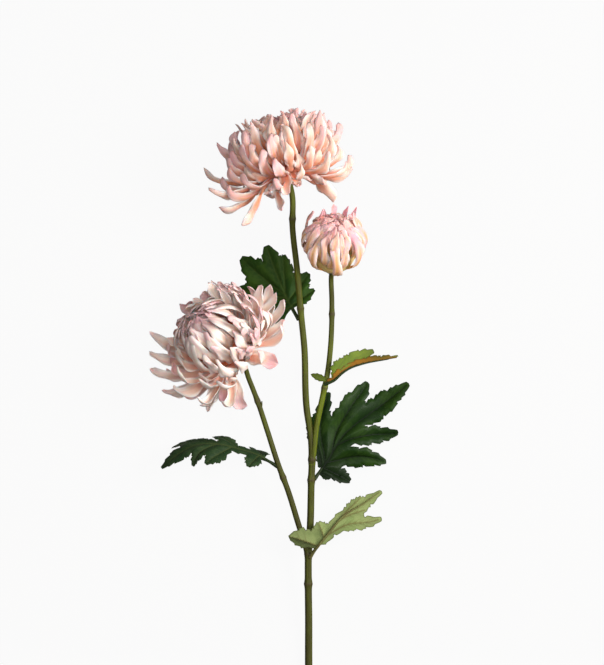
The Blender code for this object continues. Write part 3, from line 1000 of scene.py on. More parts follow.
class BladeTree(GrowthTree):
    """Grows a closed, cupped blade along each spine of a sheet."""

    def __init__(self) -> None:
        """Builds the tree."""
        super().__init__("cupped_blades", [
            ("Rows", "NodeSocketInt", 24), ("Corners", "NodeSocketInt", 16),
            ("Thickness", NUMBER, 0.0006), ("Groove Depth", NUMBER, 0.16), ("Ridges", NUMBER, 2.0),
            ("Edge Wave", NUMBER, 0.001), ("Unevenness", NUMBER, 0.0024), ("Seed", NUMBER, 1.0),
        ])
        given = self.given
        rows, corners = given["Rows"], given["Corners"]
        size = self.add("GeometryNodeAttributeDomainSize", {"Geometry": given["Guide"]}, component="MESH")
        count = self.math("DIVIDE", size.outputs["Point Count"], rows)
        index = self.add("GeometryNodeInputIndex").outputs[0]
        net = self.add(
            "GeometryNodeMeshGrid", {"Vertices X": self.plus(corners, 1.0), "Vertices Y": rows}
        ).outputs[0]
        numbered = self.store(net, "cell", index)
        seeds = self.store(self.add("GeometryNodePoints", {"Count": count}).outputs[0], "blade", index)
        placed = self.add("GeometryNodeInstanceOnPoints", {"Points": seeds, "Instance": numbered}).outputs[0]
        nets = self.add("GeometryNodeRealizeInstances", {"Geometry": placed}).outputs[0]

        cell = self.named("cell")
        self.row = self.math("MODULO", cell, rows)
        column = self.math("FLOOR", self.math("DIVIDE", cell, rows))
        self.spot = self.plus(self.times(self.named("blade"), rows), self.row)
        round_angle = self.times(self.math("DIVIDE", column, corners), 2 * math.pi)
        across = self.times(self.math("COSINE", round_angle), -1.0)
        face = self.math("SINE", round_angle)
        along = self.math("DIVIDE", self.row, self.minus(rows, 1.0))

        shaped = self.add(
            "GeometryNodeSetPosition", {"Geometry": nets, "Position": self.surface_point(across, face)}
        ).outputs[0]
        values = {"along": along, "across": across, "inside": face}
        values |= {name: self.sample(name) for name in ("tone", "deep", "rosy")}
        for name, value in values.items():
            shaped = self.store(shaped, name, value)
        for name in ("cell", "blade"):
            shaped = self.add(
                "GeometryNodeRemoveAttribute", {"Geometry": shaped, "Name": name}
            ).outputs[0]
        self.finish(shaped)

    def sample(self, name: str, data_type: str = "FLOAT") -> Socket:
        """The guide's attribute at the row that a corner belongs to.

        Args:
            name: The attribute, or place for the point itself.
            data_type: Its Blender type.

        Returns:
            Its value for each corner.
        """
        node = self.add("GeometryNodeSampleIndex", data_type=data_type, domain="POINT")
        if name == "place":
            value = self.add("GeometryNodeInputPosition").outputs[0]
        else:
            value = self.named(name, data_type)
        for key, given in {"Geometry": self.given["Guide"], "Value": value, "Index": self.spot}.items():
            self.feed(node.inputs[key], given)
        return node.outputs[0]

    def surface_point(self, across: Any, face: Any) -> Socket:
        """Where a corner goes: round the arc of the cup, out by the thickness, off it by ridges and noise.

        Args:
            across: How far from the middle line it is, from -1 to 1.
            face: 1 in the middle of the inner face, -1 in the middle of the outer one, 0 at the edges.

        Returns:
            The place.
        """
        given = self.given
        place, side, inner = (self.sample(name, "FLOAT_VECTOR") for name in ("place", "side", "inner"))
        half, cup, thin = (self.sample(name) for name in ("half", "cup", "thin"))
        turn = self.times(across, cup)
        radius = self.math("DIVIDE", half, cup)
        sine, cosine = self.math("SINE", turn), self.math("COSINE", turn)
        flat = self.minus(1.0, self.times(across, across))
        waves = self.math("COSINE", self.times(across, given["Ridges"], math.pi))
        depth = self.times(half, given["Groove Depth"], self.sample("fold"))
        skin = self.times(face, given["Thickness"], 0.5)
        relief = self.plus(skin, self.times(waves, flat, depth), self.edge_wave(across))
        stand = self.times(relief, thin)
        out = self.times(sine, self.minus(radius, stand))
        rise = self.math(
            "ADD",
            self.times(radius, self.minus(1.0, cosine)),
            self.times(stand, cosine),
        )
        middle = self.vector("ADD", place, self.scaled(side, self.times(radius, sine)))
        noise = self.add(
            "ShaderNodeTexNoise",
            {"Vector": middle, "W": given["Seed"], "Scale": 75.0, "Detail": 1.0},
            noise_dimensions="4D",
        ).outputs["Color"]
        uneven = self.times(given["Unevenness"], thin)
        shift = self.scaled(self.vector("SUBTRACT", noise, (0.5, 0.5, 0.5)), uneven)
        off = self.vector("ADD", self.scaled(side, out), self.scaled(inner, rise))
        return self.vector("ADD", self.vector("ADD", place, off), shift)

    def edge_wave(self, across: Any) -> Socket:
        """How far the edges wave in and out there, each in its own way.

        Args:
            across: How far from the middle line it is, from -1 to 1.

        Returns:
            The wave's height.
        """
        phase = self.plus(self.times(self.row, 0.62), self.times(self.sample("tone"), 40.0))
        both = self.times(self.math("SINE", phase), self.times(across, across))
        apart = self.math(
            "MULTIPLY", self.math("SINE", self.times(phase, 0.7)), self.math("POWER", across, 3.0)
        )
        return self.times(self.plus(both, apart), self.given["Edge Wave"])


@dataclass(frozen=True)
class Whorls:
    """Petals that stand by the part's own rules, with the seed of their random draws and their number.

    Those that stand on one side only go to reach degrees to either side of the azimuth middle.
    """

    seed: int
    count: int
    middle: float = 0.0
    reach: float = 180.0

    def azimuth(self, share: float) -> float:
        """The azimuth at a share of the way from one side to the other."""
        return self.middle + blend(-self.reach, self.reach, share)

    def open_bloom(self, ball_length: float, skirt: int) -> list[Petal]:
        """Petals of an open bloom, innermost first: an incurved ball of that number, then a skirt.

        Args:
            ball_length: The length of its outermost petals.
            skirt: How many petals the skirt has.

        Returns:
            The petals.
        """
        draw = random.Random(self.seed)
        petals = []
        for k in range(self.count):
            f = (k / (self.count - 1)) ** 0.6
            petals.append(Petal(
                azimuth=k * GOLDEN_ANGLE + draw.uniform(-6, 6),
                root=(blend(1.5, 5.5, f), blend(22, 6, f)),
                angles=(blend(14, 101, f), blend(2, 14, f), blend(-60, -76, f) + draw.uniform(-10, 8)),
                length=blend(26, ball_length, f) * draw.uniform(0.92, 1.03),
                width=blend(6.6, 9.0, f) + draw.uniform(-0.8, 0.6),
                sway=draw.uniform(-12, 12),
                twist=draw.uniform(-12, 12),
                cup=blend(46, 34, f),
                point=0.3 + 0.4 * (k * GOLDEN_SHARE % 1),
                rosy=blend(0.8, 0.3, f),
            ))
        for k in range(skirt):
            f = k / (skirt - 1)
            petals.append(Petal(
                azimuth=(self.count + k) * GOLDEN_ANGLE + draw.uniform(-7, 7),
                root=(blend(5.6, 6.5, f), blend(7.0, 4.2, f)),
                angles=(blend(95, 113, f), blend(32, 114, f), blend(-46, 22, f) + draw.uniform(-24, 12)),
                length=blend(60, 54, f) * draw.uniform(0.86, 1.03),
                width=blend(9.4, 8.6, f) + draw.uniform(-1.4, 0.6),
                sway=draw.uniform(-16, 16),
                twist=1.7 * draw.uniform(-20, 20),
                hook=24,
                cup=32 + 20 * (k * GOLDEN_SHARE % 1),
                hood=34 - 26 * (k * GOLDEN_SHARE ** 2 % 1),
                point=0.25 + 0.4 * (k * GOLDEN_SHARE % 1),
                rosy=0.1 + 0.7 * (k * GOLDEN_SHARE ** 2 % 1),
                fold=-0.5,
            ))
        return petals

    def young_bloom(self) -> list[Petal]:
        """Petals of a half-open bloom: all incurved into a ball, with every seventh tip flicking out.

        Returns:
            The petals.
        """
        draw = random.Random(self.seed)
        petals = []
        for k in range(self.count):
            f = (k / (self.count - 1)) ** 0.6
            flick = 68 if k % 7 == 6 else 0
            petals.append(Petal(
                azimuth=k * GOLDEN_ANGLE + draw.uniform(-5, 5),
                root=(blend(1.5, 5.0, f), blend(20, 4, f)),
                angles=(blend(14, 103, f), blend(0, 6, f), blend(-60, -94, f) + flick),
                length=blend(25, 60, f) + draw.uniform(-2, 1),
                width=blend(5.4, 7.8, f),
                sway=draw.uniform(-10, 10),
                twist=draw.uniform(-14, 14),
                cup=34,
                hood=20,
                rosy=draw.uniform(0.2, 0.9),
            ))
        return petals

    def crown(self, reach: float, flick: float) -> list[Petal]:
        """Petals that rise through the ball and flick their tips out of it.

        Args:
            reach: The length of the longest.
            flick: The middle of their tips' angles, in degrees.

        Returns:
            The petals.
        """
        draw = random.Random(self.seed)
        petals = []
        for k in range(self.count):
            f = ((k + 0.5) / self.count) ** 0.7
            petals.append(Petal(
                azimuth=k * GOLDEN_ANGLE + draw.uniform(-14, 14),
                root=(blend(1.0, 5.0, f), blend(19, 8, f)),
                angles=(
                    blend(12, 84, f), blend(4, 30, f) + draw.uniform(-8, 8), flick + draw.uniform(-34, 30),
                ),
                length=blend(25, reach, f) * draw.uniform(0.9, 1.05),
                width=blend(5.4, 7.4, f) + draw.uniform(-1.0, 0.6),
                sway=draw.uniform(-22, 22),
                twist=draw.uniform(-30, 30),
                cup=draw.uniform(28, 52),
                hood=draw.uniform(4, 40),
                point=draw.uniform(0.35, 0.75),
                rosy=blend(0.95, 0.25, f),
            ))
        return petals

    def hooks(self) -> list[Petal]:
        """Three rows of blunt petals on the side that faces up, each further up the ball, with curled tips.

        Returns:
            The petals.
        """
        draw = random.Random(self.seed)
        petals = []
        for k in range(self.count):
            f = k / (self.count - 1)
            upper = k % 3 / 2
            petals.append(Petal(
                azimuth=self.azimuth(f) + draw.uniform(-5, 5),
                root=(6.2, blend(4.4, 7.2, upper)),
                angles=(
                    blend(112, 92, upper) + draw.uniform(-4, 4),
                    blend(80, 36, upper) + draw.uniform(-9, 9),
                    blend(6, -30, upper) + draw.uniform(-16, 12),
                ),
                length=blend(36, 53, upper) * draw.uniform(0.9, 1.08),
                width=7.8 + draw.uniform(-1.0, 1.0),
                sway=draw.uniform(-16, 16),
                twist=draw.uniform(-20, 20),
                hook=blend(24, -30, upper),
                cup=42,
                hood=40,
                point=draw.uniform(0.1, 0.4),
                rosy=blend(0.15, 0.5, upper),
            ))
        return petals

    def bib(self) -> list[Petal]:
        """Short petals that hang over the calyx on the side that faces up.

        Returns:
            The petals.
        """
        draw = random.Random(self.seed)
        petals = []
        for k in range(self.count):
            petals.append(Petal(
                azimuth=self.azimuth(k / (self.count - 1)) + draw.uniform(-6, 6),
                root=(6.4, 3.8),
                angles=(112 + draw.uniform(-4, 4), 134 + draw.uniform(-10, 10), 104 + draw.uniform(-20, 20)),
                length=26 * draw.uniform(0.88, 1.15),
                width=9.4 + draw.uniform(-1.0, 0.8),
                sway=draw.uniform(-16, 16),
                twist=draw.uniform(-16, 16),
                cup=34,
                hood=46,
                point=0.15,
                fold=0.5,
            ))
        return petals

    def heart(self, height: float) -> list[Petal]:
        """The small curled petals that close the middle.

        Args:
            height: How high the outermost of them are rooted.

        Returns:
            The petals.
        """
        draw = random.Random(self.seed)
        petals = []
        for k in range(self.count):
            f = (k + 0.5) / self.count
            petals.append(Petal(
                azimuth=k * GOLDEN_ANGLE + draw.uniform(-20, 20),
                root=(blend(0.6, 7.5, f), height + blend(4, -3, f)),
                angles=(blend(0, 34, f), blend(-18, 4, f), blend(-84, -76, f) + draw.uniform(-20, 20)),
                length=blend(11, 19, f) * draw.uniform(0.9, 1.1),
                width=blend(5.0, 6.6, f),
                sway=draw.uniform(-24, 24),
                twist=draw.uniform(-24, 24),
                cup=66,
                point=0.5,
                rosy=0.8,
            ))
        return petals

    def fillers(self, reach: float) -> list[Petal]:
        """Narrower petals between those of the ball, which close its gaps.

        Args:
            reach: The length of the longest.

        Returns:
            The petals.
        """
        draw = random.Random(self.seed)
        petals = []
        for k in range(self.count):
            f = (k + 1) / self.count
            petals.append(Petal(
                azimuth=(k + 0.5) * GOLDEN_ANGLE + draw.uniform(-12, 12),
                root=(blend(1.0, 4.6, f), blend(21, 7, f)),
                angles=(blend(10, 92, f), blend(2, 14, f), blend(-62, -70, f) + draw.uniform(-14, 14)),
                length=blend(22, reach, f) * draw.uniform(0.9, 1.02),
                width=blend(5.0, 6.8, f) + draw.uniform(-0.5, 0.5),
                sway=draw.uniform(-14, 14),
                twist=draw.uniform(-20, 20),
                cup=44,
                point=draw.uniform(0.3, 0.6),
                rosy=draw.uniform(0.2, 0.9),
            ))
        return petals

    def collar(self) -> list[Petal]:
        """Petals that stand out between the ball and the skirt, their tips curled up.

        Returns:
            The petals.
        """
        draw = random.Random(self.seed)
        petals = []
        for k in range(self.count):
            petals.append(Petal(
                azimuth=self.azimuth(k * GOLDEN_SHARE % 1) + draw.uniform(-4, 4),
                root=(5.8, draw.uniform(5.5, 8)),
                angles=(94 + draw.uniform(-5, 5), draw.uniform(38, 72), draw.uniform(-24, 30)),
                length=54 * draw.uniform(0.88, 1.06),
                width=draw.uniform(7.2, 9.2),
                sway=draw.uniform(-16, 16),
                twist=draw.uniform(-30, 30),
                hook=14,
                cup=draw.uniform(28, 44),
                point=draw.uniform(0.2, 0.5),
                rosy=draw.uniform(0.1, 0.9),
            ))
        return petals


@dataclass(frozen=True)
class Bloom:
    """A flower head: its petals and the small core that they stand out of."""

    name: str
    head: Head
    petals: Sequence[Petal]
    core_height: float
    core_radius: float
    ball_radii: tuple[float, float]
    seed: float
    breadth: float = 1.0

    def build(self, tree: BladeTree, finish: Material, core: Material) -> None:
        """Grows the petals and the core.

        Args:
            tree: The tree that makes the blades.
            finish: The petals' material.
            core: The core's material.
        """
        sheet = BladeSheet(Ball(self.head.point(0, 0, self.core_height / 2), *self.ball_radii))
        for k, petal in enumerate(self.petals):
            broad = replace(petal, width=petal.width * self.breadth)
            sheet.add(self.head, broad, (k * GOLDEN_SHARE) % 1)
        grown = tree.grow(
            self.name + "_petals", sheet.guide(self.name), Rows=sheet.rows, Seed=self.seed, Finish=finish
        )
        register(grown, Slot.PETAL, self.name)
        profile = [(0.0, 0.0)]
        rings, sides = 12, 32
        for k in range(rings):
            t = (k + 0.35) / rings
            radius = self.core_radius * math.sin(math.pi * t ** 0.8)
            profile.append((radius, self.core_height * (1 - math.cos(math.pi * t)) / 2))
        profile.append((0.0, self.core_height))
        register(turned(self.name + "_core", self.head, profile, sides, core), Slot.PETAL)


def turned(
    name: str, head: Head, profile: Sequence[tuple[float, float]], sides: int, finish: Material
) -> bpy.types.Object:
    """A closed solid turned round a head's axis.

    Args:
        name: The new object's name.
        head: The head whose axis it is turned round.
        profile: Radius and height of each ring; the first and the last lie on the axis.
        sides: How many sides each ring has.
        finish: Its material.

    Returns:
        The object.
    """
    build = bmesh.new()
    first, last = (build.verts.new(to_frame(head.point(0, 0, end[1]))) for end in (profile[0], profile[-1]))
    rings = [
        [build.verts.new(to_frame(head.point(360 * k / sides, radius, height))) for k in range(sides)]
        for radius, height in profile[1:-1]
    ]
    for k in range(sides):
        after = (k + 1) % sides
        build.faces.new((first, rings[0][k], rings[0][after]))
        build.faces.new((last, rings[-1][after], rings[-1][k]))
        for low, high in zip(rings, rings[1:]):
            build.faces.new((low[k], low[after], high[after], high[k]))
    bmesh.ops.recalc_face_normals(build, faces=build.faces)
    mesh = bpy.data.meshes.new(name)
    build.to_mesh(mesh)
    build.free()
    mesh.shade_smooth()
    mesh.materials.append(finish)
    return add_object(name, mesh)


@dataclass(frozen=True)
class Calyx:
    """The green cup under a head, with rows of small pointed bracts."""

    name: str
    head: Head
    depth: float = 7.0
    radius: float = 6.4

    def build(self, tree: BladeTree, finish: Material) -> None:
        """Makes the cup and grows its bracts.

        Args:
            tree: The tree that makes the blades.
            finish: The material of both.
        """
        foot = -self.depth
        outline = [
            (0.0, foot - 0.2), (2.4, foot - 0.1), (3.4, foot + 0.3), (4.6, foot + 1.3), (5.7, foot + 2.5),
            (self.radius, foot + 4.0), (self.radius, -1.0), (self.radius - 0.6, -0.3), (0.0, -0.3),
        ]
        cup = turned(self.name + "_cup", self.head, outline, 40, finish)
        register(cup, Slot.CALYX, self.name)
        sheet = BladeSheet(Ball(self.head.point(0, 0, foot / 2), self.radius * 0.5, self.radius), rows=14)
        draw = random.Random(self.name)
        for row in range(3):
            for k in range(9):
                sheet.add(self.head, Petal(
                    azimuth=40 * (k + row / 3) + draw.uniform(-4, 4),
                    root=(blend(2.6, 5.4, row / 2), foot + 0.6 + 1.5 * row),
                    angles=(70 + draw.uniform(-8, 12), 34, blend(24, 8, row / 2) + draw.uniform(-14, 20)),
                    length=5.6 + draw.uniform(-0.6, 0.6),
                    width=3.4,
                    cup=40,
                ), draw.random())
        bracts = tree.grow(
            self.name + "_bracts", sheet.guide(self.name), Rows=sheet.rows, Corners=10, Thickness=0.0006,
            Groove_Depth=0.05, Edge_Wave=0.0001, Unevenness=0.0003, Seed=3.0, Finish=finish,
        )
        register(bracts, Slot.CALYX)


# Stems

# A joint's soft swelling and its sharp ring, as shares of the radius, and how far they and its dark skin
# reach along the stem, in millimetres
JOINT_SWELL, JOINT_REACH = 0.18, 2.8
RING_SWELL, RING_REACH = 0.07, 0.7
KNOT_DARKNESS, KNOT_REACH = 0.7, 1.1
FLARE_REACH = 5.0


class TubeTree(GrowthTree):
    """Grows a ridged tube along each chain of points."""

    def __init__(self) -> None:
        """Builds the tree."""
        super().__init__("ridged_tubes", [
            ("Sides", "NodeSocketInt", 24),
            ("Ridges", NUMBER, 6.0),
            ("Ridge Height", NUMBER, 0.05),
        ])
        given = self.given
        line = self.add("GeometryNodeMeshToCurve", {"Mesh": given["Guide"]}).outputs[0]
        ring = self.add(
            "GeometryNodeCurvePrimitiveCircle", {"Resolution": given["Sides"], "Radius": 1.0}, mode="RADIUS"
        ).outputs["Curve"]
        share = self.add("GeometryNodeSplineParameter").outputs["Factor"]
        turn = self.times(share, given["Ridges"], 2 * math.pi)
        swell = self.plus(1.0, self.times(self.math("COSINE", turn), given["Ridge Height"]))
        place = self.add("GeometryNodeInputPosition").outputs[0]
        ridged = self.add(
            "GeometryNodeSetPosition", {"Geometry": ring, "Position": self.scaled(place, swell)}
        ).outputs[0]
        tube = self.add("GeometryNodeCurveToMesh", {
            "Curve": line, "Profile Curve": ridged, "Scale": self.named("thick"), "Fill Caps": True,
        }).outputs[0]
        self.finish(tube)


@dataclass(frozen=True)
class Stalk:
    """A stem, a branch or a petiole: a tube that tapers along its route and swells at its joints."""

    route: Route
    radii: tuple[float, float]
    joints: Sequence[float] = ()
    ages: tuple[float, float] = (0.0, 1.0)
    flare: float = 0.0

    def near_joints(self, share: float, reach: float) -> float:
        """How near the joints a share of the length is: 1 at one, and little past so many millimetres."""
        away = ((share - joint) * self.route.length / reach for joint in self.joints)
        return sum(math.exp(-(distance ** 2)) for distance in away)

    def radius(self, share: float) -> float:
        """The radius at a share of the length, in millimetres.

        Args:
            share: The share, from 0 at the foot to 1 at the end.

        Returns:
            The radius.
        """
        swell = JOINT_SWELL * self.near_joints(share, JOINT_REACH)
        ring = RING_SWELL * self.near_joints(share, RING_REACH)
        foot = self.flare * math.exp(-((share * self.route.length / FLARE_REACH) ** 2))
        return blend(*self.radii, share) * (1 + swell + ring) + foot

    def knot(self, share: float) -> float:
        """How dark the skin is there, from 0 to 1: the joints have a dark ring."""
        return min(1.0, self.near_joints(share, KNOT_REACH)) * KNOT_DARKNESS


class StalkSheet:
    """Collects stalks as chains of points with attributes."""

    KEYS = ("place", "thick", "age", "knot")

    def __init__(self, spacing: float = 0.8) -> None:
        """Starts an empty sheet.

        Args:
            spacing: How far apart the points are, in millimetres.
        """
        self.spacing = spacing
        self.columns: dict[str, list] = {key: [] for key in self.KEYS}
        self.edges: list[tuple[int, int]] = []

    def add(self, stalk: Stalk) -> None:
        """Adds one stalk.

        Args:
            stalk: The stalk.
        """
        count = max(8, round(stalk.route.length / self.spacing))
        first = len(self.columns["place"])
        for k in range(count + 1):
            share = k / count
            place, radius = to_frame(stalk.route.at(share)), stalk.radius(share) * MM
            values = (place, radius, blend(*stalk.ages, share), stalk.knot(share))
            for key, value in zip(self.KEYS, values):
                self.columns[key].append(value)
        self.edges += [(first + k, first + k + 1) for k in range(count)]

    def guide(self, name: str) -> bpy.types.Mesh:
        """All the stalks as one mesh of joined points."""
        return guide_mesh(name, self.columns, self.edges)


@dataclass(frozen=True)
class Stems:
    """The main stem with its two side branches."""

    main_radii: tuple[float, float] = (2.9, 2.1)
    branch_radii: tuple[float, float] = (2.2, 1.8)
    main_route: tuple[Triple, ...] = (
        (1.5, -74, 3.0), (0.6, -38, 3.6), (0, 0, 5.2), (0, 35, 8.2), (-0.3, 62, 11.0), (-0.2, 85, 13.6),
        (1.2, 107, 16.0), (2, 141, 19.4), (2.5, 157, 21.0), (1.8, 175, 22.6), (-1.4, 196, 24.8),
        (-3.5, 246, 30.4), (-5.9, 270, 33.2), (-9, 305, 37.4), (-12.4, 336, 41.2),
    )
    left_route: tuple[Triple, ...] = (
        (0, 82, 13.3), (-2.6, 92, 14.8), (-6.6, 104, 16.4), (-16.3, 135, 20.2), (-23.2, 153.4, 22.4),
        (-32.1, 181, 24.2), (-39.4, 203, 24.2), (-46, 220, 23.8),
    )
    right_route: tuple[Triple, ...] = (
        (2.4, 154, 20.6), (4.0, 166, 22.6), (5.8, 183, 24.4), (10.2, 204, 26.2), (14.7, 226, 27.6),
        (16.9, 246, 28.4), (17.8, 281, 28.8),
    )
    bud_route: tuple[Triple, ...] = ((-37.2, 197.6, 24.2), (-36.4, 200.4, 25.2), (-36.0, 203.2, 25.9))
    main_joints: tuple[float, ...] = (0.07, 0.303, 0.355, 0.483, 0.518, 0.78, 0.935)
    branch_joints: tuple[float, ...] = (0.39, 0.76)

    def build(self, tree: TubeTree, finish: Material, heads: Sequence[Head]) -> None:
        """Grows the stems, each up into its own calyx.

        Args:
            tree: The tree that makes the tubes.
            finish: Their material.
            heads: The top, left and young heads.
        """
        top, left, young = heads
        sheet = StalkSheet()
        main = Route([*self.main_route, *top.neck()])
        sheet.add(Stalk(main, self.main_radii, self.main_joints, ages=(0.22, 0.55)))
        branches = ((self.left_route, left, (0.25, 0.45)), (self.right_route, young, (1.2, 0.25)))
        for route, head, ages in branches:
            branch = Route([*route, *head.neck()])
            sheet.add(Stalk(branch, self.branch_radii, self.branch_joints, ages=ages, flare=0.5))
        sheet.add(Stalk(Route(self.bud_route), (1.3, 0.3), ages=(0.3, 0.3)))
        register(tree.grow("stems", sheet.guide("stems"), Finish=finish), Slot.STEM, "stem")


# Leaves


@dataclass(frozen=True)
class Lobe:
    """A lobe of a leaf: where its vein leaves the midrib, the vein's angle to it, its length and half-width.

    The angle is positive to the left of the midrib, seen from the leaf's upper face.
    """

    root: float
    angle: float
    length: float
    half: float

    def place(self, share: float, out: float) -> Vector:
        """The flat point at this share of the vein, and out to its left by a share of the half-width.

        Args:
            share: From 0 at the midrib to 1 at the lobe's tip.
            out: From -1 to 1.

        Returns:
            The point.
        """
        turn = math.radians(self.angle)
        along, across = self.length * share, self.half * out
        return Vector((
            self.root + along * math.cos(turn) - across * math.sin(turn),
            along * math.sin(turn) + across * math.cos(turn),
        ))


@dataclass(frozen=True)
class Vein:
    """A straight stretch of vein: its half-width and strength at each end, and its crease's reach."""

    start: Vector
    end: Vector
    widths: tuple[float, float]
    strengths: tuple[float, float]
    reach: float


# One edge of a lobe, as shares of its length and of its half-width, with two teeth
LOBE_EDGE = ((0.04, 0.36), (0.28, 0.6), (0.5, 1.04), (0.54, 0.86), (0.71, 0.94), (0.75, 0.7), (0.89, 0.5))
RIPPLE_LENGTH = 7.0
RIPPLE_LAG = 2.0
RIPPLE_FULL_AT = 12.0
PETIOLE_HALF_WIDTH = 1.3
# How far in from its rim a blade is as thick as it gets, its share of that thickness at the rim, and how far
# in the rim's own colour reaches
FULL_THICKNESS_FROM = 1.6
RIM_THICKNESS = 0.35
RIM_REACH = 0.5
# The relief's share at the rim, and how slowly it gets full further in
RIM_RELIEF = 0.75
RELIEF_REACH = 12.0
PETIOLE_START = -2.6
MIDRIB_END = 0.86
TOOTH_LENGTH = 6.0
SIDE_VEIN_SPACING = 7


@dataclass
class Leaf:
    """A lobed leaf, bent through space.

    route_points holds the plan points that its midrib runs through, upper its upper face's normal at foot
    and tip, fold how far its left and right halves turn up towards the upper face, in degrees, and curl how
    much more they turn for each millimetre from the midrib. wave is the height of the ripple of its edges,
    web the half-width of the strip of blade along the midrib, relief how far the blade stands up between its
    veins, and rib and groove how far a vein stands out below and sinks above.
    """

    name: str
    route_points: tuple[Triple, ...]
    upper: tuple[Triple, Triple]
    lobe_rows: tuple[tuple[float, float, float, float], ...]
    fold: tuple[float, float] = (0.0, 0.0)
    curl: tuple[float, float] = (0.0, 0.0)
    wave: float = 1.2
    petiole: float = 10.0
    web: float = 4.0
    slot: Slot = Slot.LEAF
    spacing: float = 0.85
    thickness: float = 0.5
    rib: float = 0.5
    groove: float = 0.15
    relief: float = 3.0
    tooth: float = 1.1
    frame_count: int = 61

    def __post_init__(self) -> None:
        """Works out the frames along the midrib, the lobes and the veins."""
        route = Route(self.route_points).spread(self.frame_count)
        normals = tuple(Vector(normal).normalized() for normal in self.upper)
        last = len(route) - 1
        self.frames = []
        for k, centre in enumerate(route):
            along = (route[min(k + 3, last)] - route[max(k - 3, 0)]).normalized()
            upper = normals[0].lerp(normals[1], k / last)
            self.frames.append((centre, along, (upper - along * upper.dot(along)).normalized()))
        self.lobes = [Lobe(*row) for row in self.lobe_rows]
        self.length = max(lobe.root + lobe.length for lobe in self.lobes if lobe.angle == 0)
        self.veins = self.all_veins()

    def place(self, u: float, v: float) -> Vector:
        """The middle surface's plan point at u along the midrib and v to its left.

        Args:
            u: Millimetres along the midrib.
            v: Millimetres to its left.

        Returns:
            The plan point.
        """
        share = min(max(u / self.length, 0.0), 1.0) * (len(self.frames) - 1)
        k = min(int(share), len(self.frames) - 2)
        centre, along, upper = (low.lerp(high, share - k) for low, high in zip(*self.frames[k:k + 2]))
        centre = centre + along * min(u, 0.0)
        left = upper.cross(along).normalized()
        side = 0 if v > 0 else 1
        turn = math.radians(self.fold[side] + self.curl[side] * abs(v) / 2)
        ripple = self.wave * math.sin(u / RIPPLE_LENGTH + side * RIPPLE_LAG)
        ripple *= min(abs(v) / RIPPLE_FULL_AT, 1.0)
        return centre + left * (v * math.cos(turn)) + upper * (abs(v) * math.sin(turn) + ripple)

    def normal(self, u: float, v: float) -> Vector:
        """The upper face's normal there.

        Args:
            u: Millimetres along the midrib.
            v: Millimetres to its left.

        Returns:
            The unit normal.
        """
        step = 0.7
        along = self.place(u + step, v) - self.place(u - step, v)
        across = self.place(u, v + step) - self.place(u, v - step)
        return along.cross(across).normalized()

    def all_veins(self) -> list[Vein]:
        """The midrib, a vein along each lobe and side veins that leave those.

        Returns:
            The veins.
        """
        veins = [Vein(Vector((0, 0)), Vector((self.length * 0.97, 0)), (0.9, 0.35), (1.0, 0.85), 5.0)]
        for lobe in self.lobes:
            veins.append(Vein(lobe.place(0, 0), lobe.place(0.94, 0), (0.65, 0.3), (0.95, 0.75), 4.6))
            count = max(2, round(lobe.length / SIDE_VEIN_SPACING))
            for k in range(1, count):
                share = blend(0.16, 0.86, k / count)
                for side in (-1, 1):
                    out = side * blend(0.95, 0.55, share)
                    end = lobe.place(min(share + 0.17, 0.97), out * 0.8)
                    veins.append(Vein(lobe.place(share, 0), end, (0.36, 0.26), (0.5, 0.1), 1.3))
        return veins

    def build(self, finish: Material, tree: TubeTree, stalk_finish: Material) -> None:
        """Makes the blade and its petiole.

        Args:
            finish: The blade's material.
            tree: The tree that makes the petiole.
            stalk_finish: The petiole's material.
        """
        register(LeafMesh(self).build(finish), self.slot, self.name)
        sheet = StalkSheet(spacing=1.2)
        middle = []
        for u in np.linspace(PETIOLE_START, self.length * MIDRIB_END, 30):
            under = blend(0.0, 1.15, smooth((u - self.petiole + 6) / 9))
            middle.append(self.place(u, 0) - self.normal(u, 0) * under * blend(1.35, 0.35, u / self.length))
        sheet.add(Stalk(Route(middle), (1.15, 0.3), flare=0.4, ages=(0.7, 1.0)))
        midrib = tree.grow(
            self.name + "_midrib", sheet.guide(self.name), Sides=14, Ridge_Height=0.06, Finish=stalk_finish
        )
        register(midrib, self.slot)


def rim_of(triangles: Iterable[Sequence[int]]) -> list[int]:
    """The closed loop of point numbers round a patch of triangles.

    Args:
        triangles: The patch, as three point numbers for each triangle.

    Returns:
        The numbers in order.
    """
    sides = [(face[k], face[(k + 1) % 3]) for face in triangles for k in range(3)]
    known = set(sides)
    onward = {a: b for a, b in sides if (b, a) not in known}
    start = next(iter(onward))
    walk = [start]
    while onward[walk[-1]] != start:
        walk.append(onward[walk[-1]])
    return walk


def closed_loops(loops: Iterable[Sequence[Vector]]) -> tuple[list[Vector], list[tuple[int, int]]]:
    """Points and edges of closed loops, as the triangulation wants them.

    Args:
        loops: The points of each loop, in order.

    Returns:
        All the points, and pairs of point numbers.
    """
    points: list[Vector] = []
    edges: list[tuple[int, int]] = []
    for loop in loops:
        first = len(points)
        points += loop
        edges += [(first + k, first + (k + 1) % len(loop)) for k in range(len(loop))]
    return points, edges


def distance_to(points: np.ndarray, start: np.ndarray, end: np.ndarray) -> tuple[np.ndarray, np.ndarray]:
    """How far points are from a straight stretch.

    Args:
        points: The points, a row each.
        start: The stretch's start.
        end: Its end.

    Returns:
        The distances, and the share of the stretch that is nearest to each point.
    """
    way = end - start
    share = np.clip(((points - start) @ way) / max(way @ way, 1e-9), 0, 1)
    return np.linalg.norm(points - start - share[:, None] * way, axis=1), share


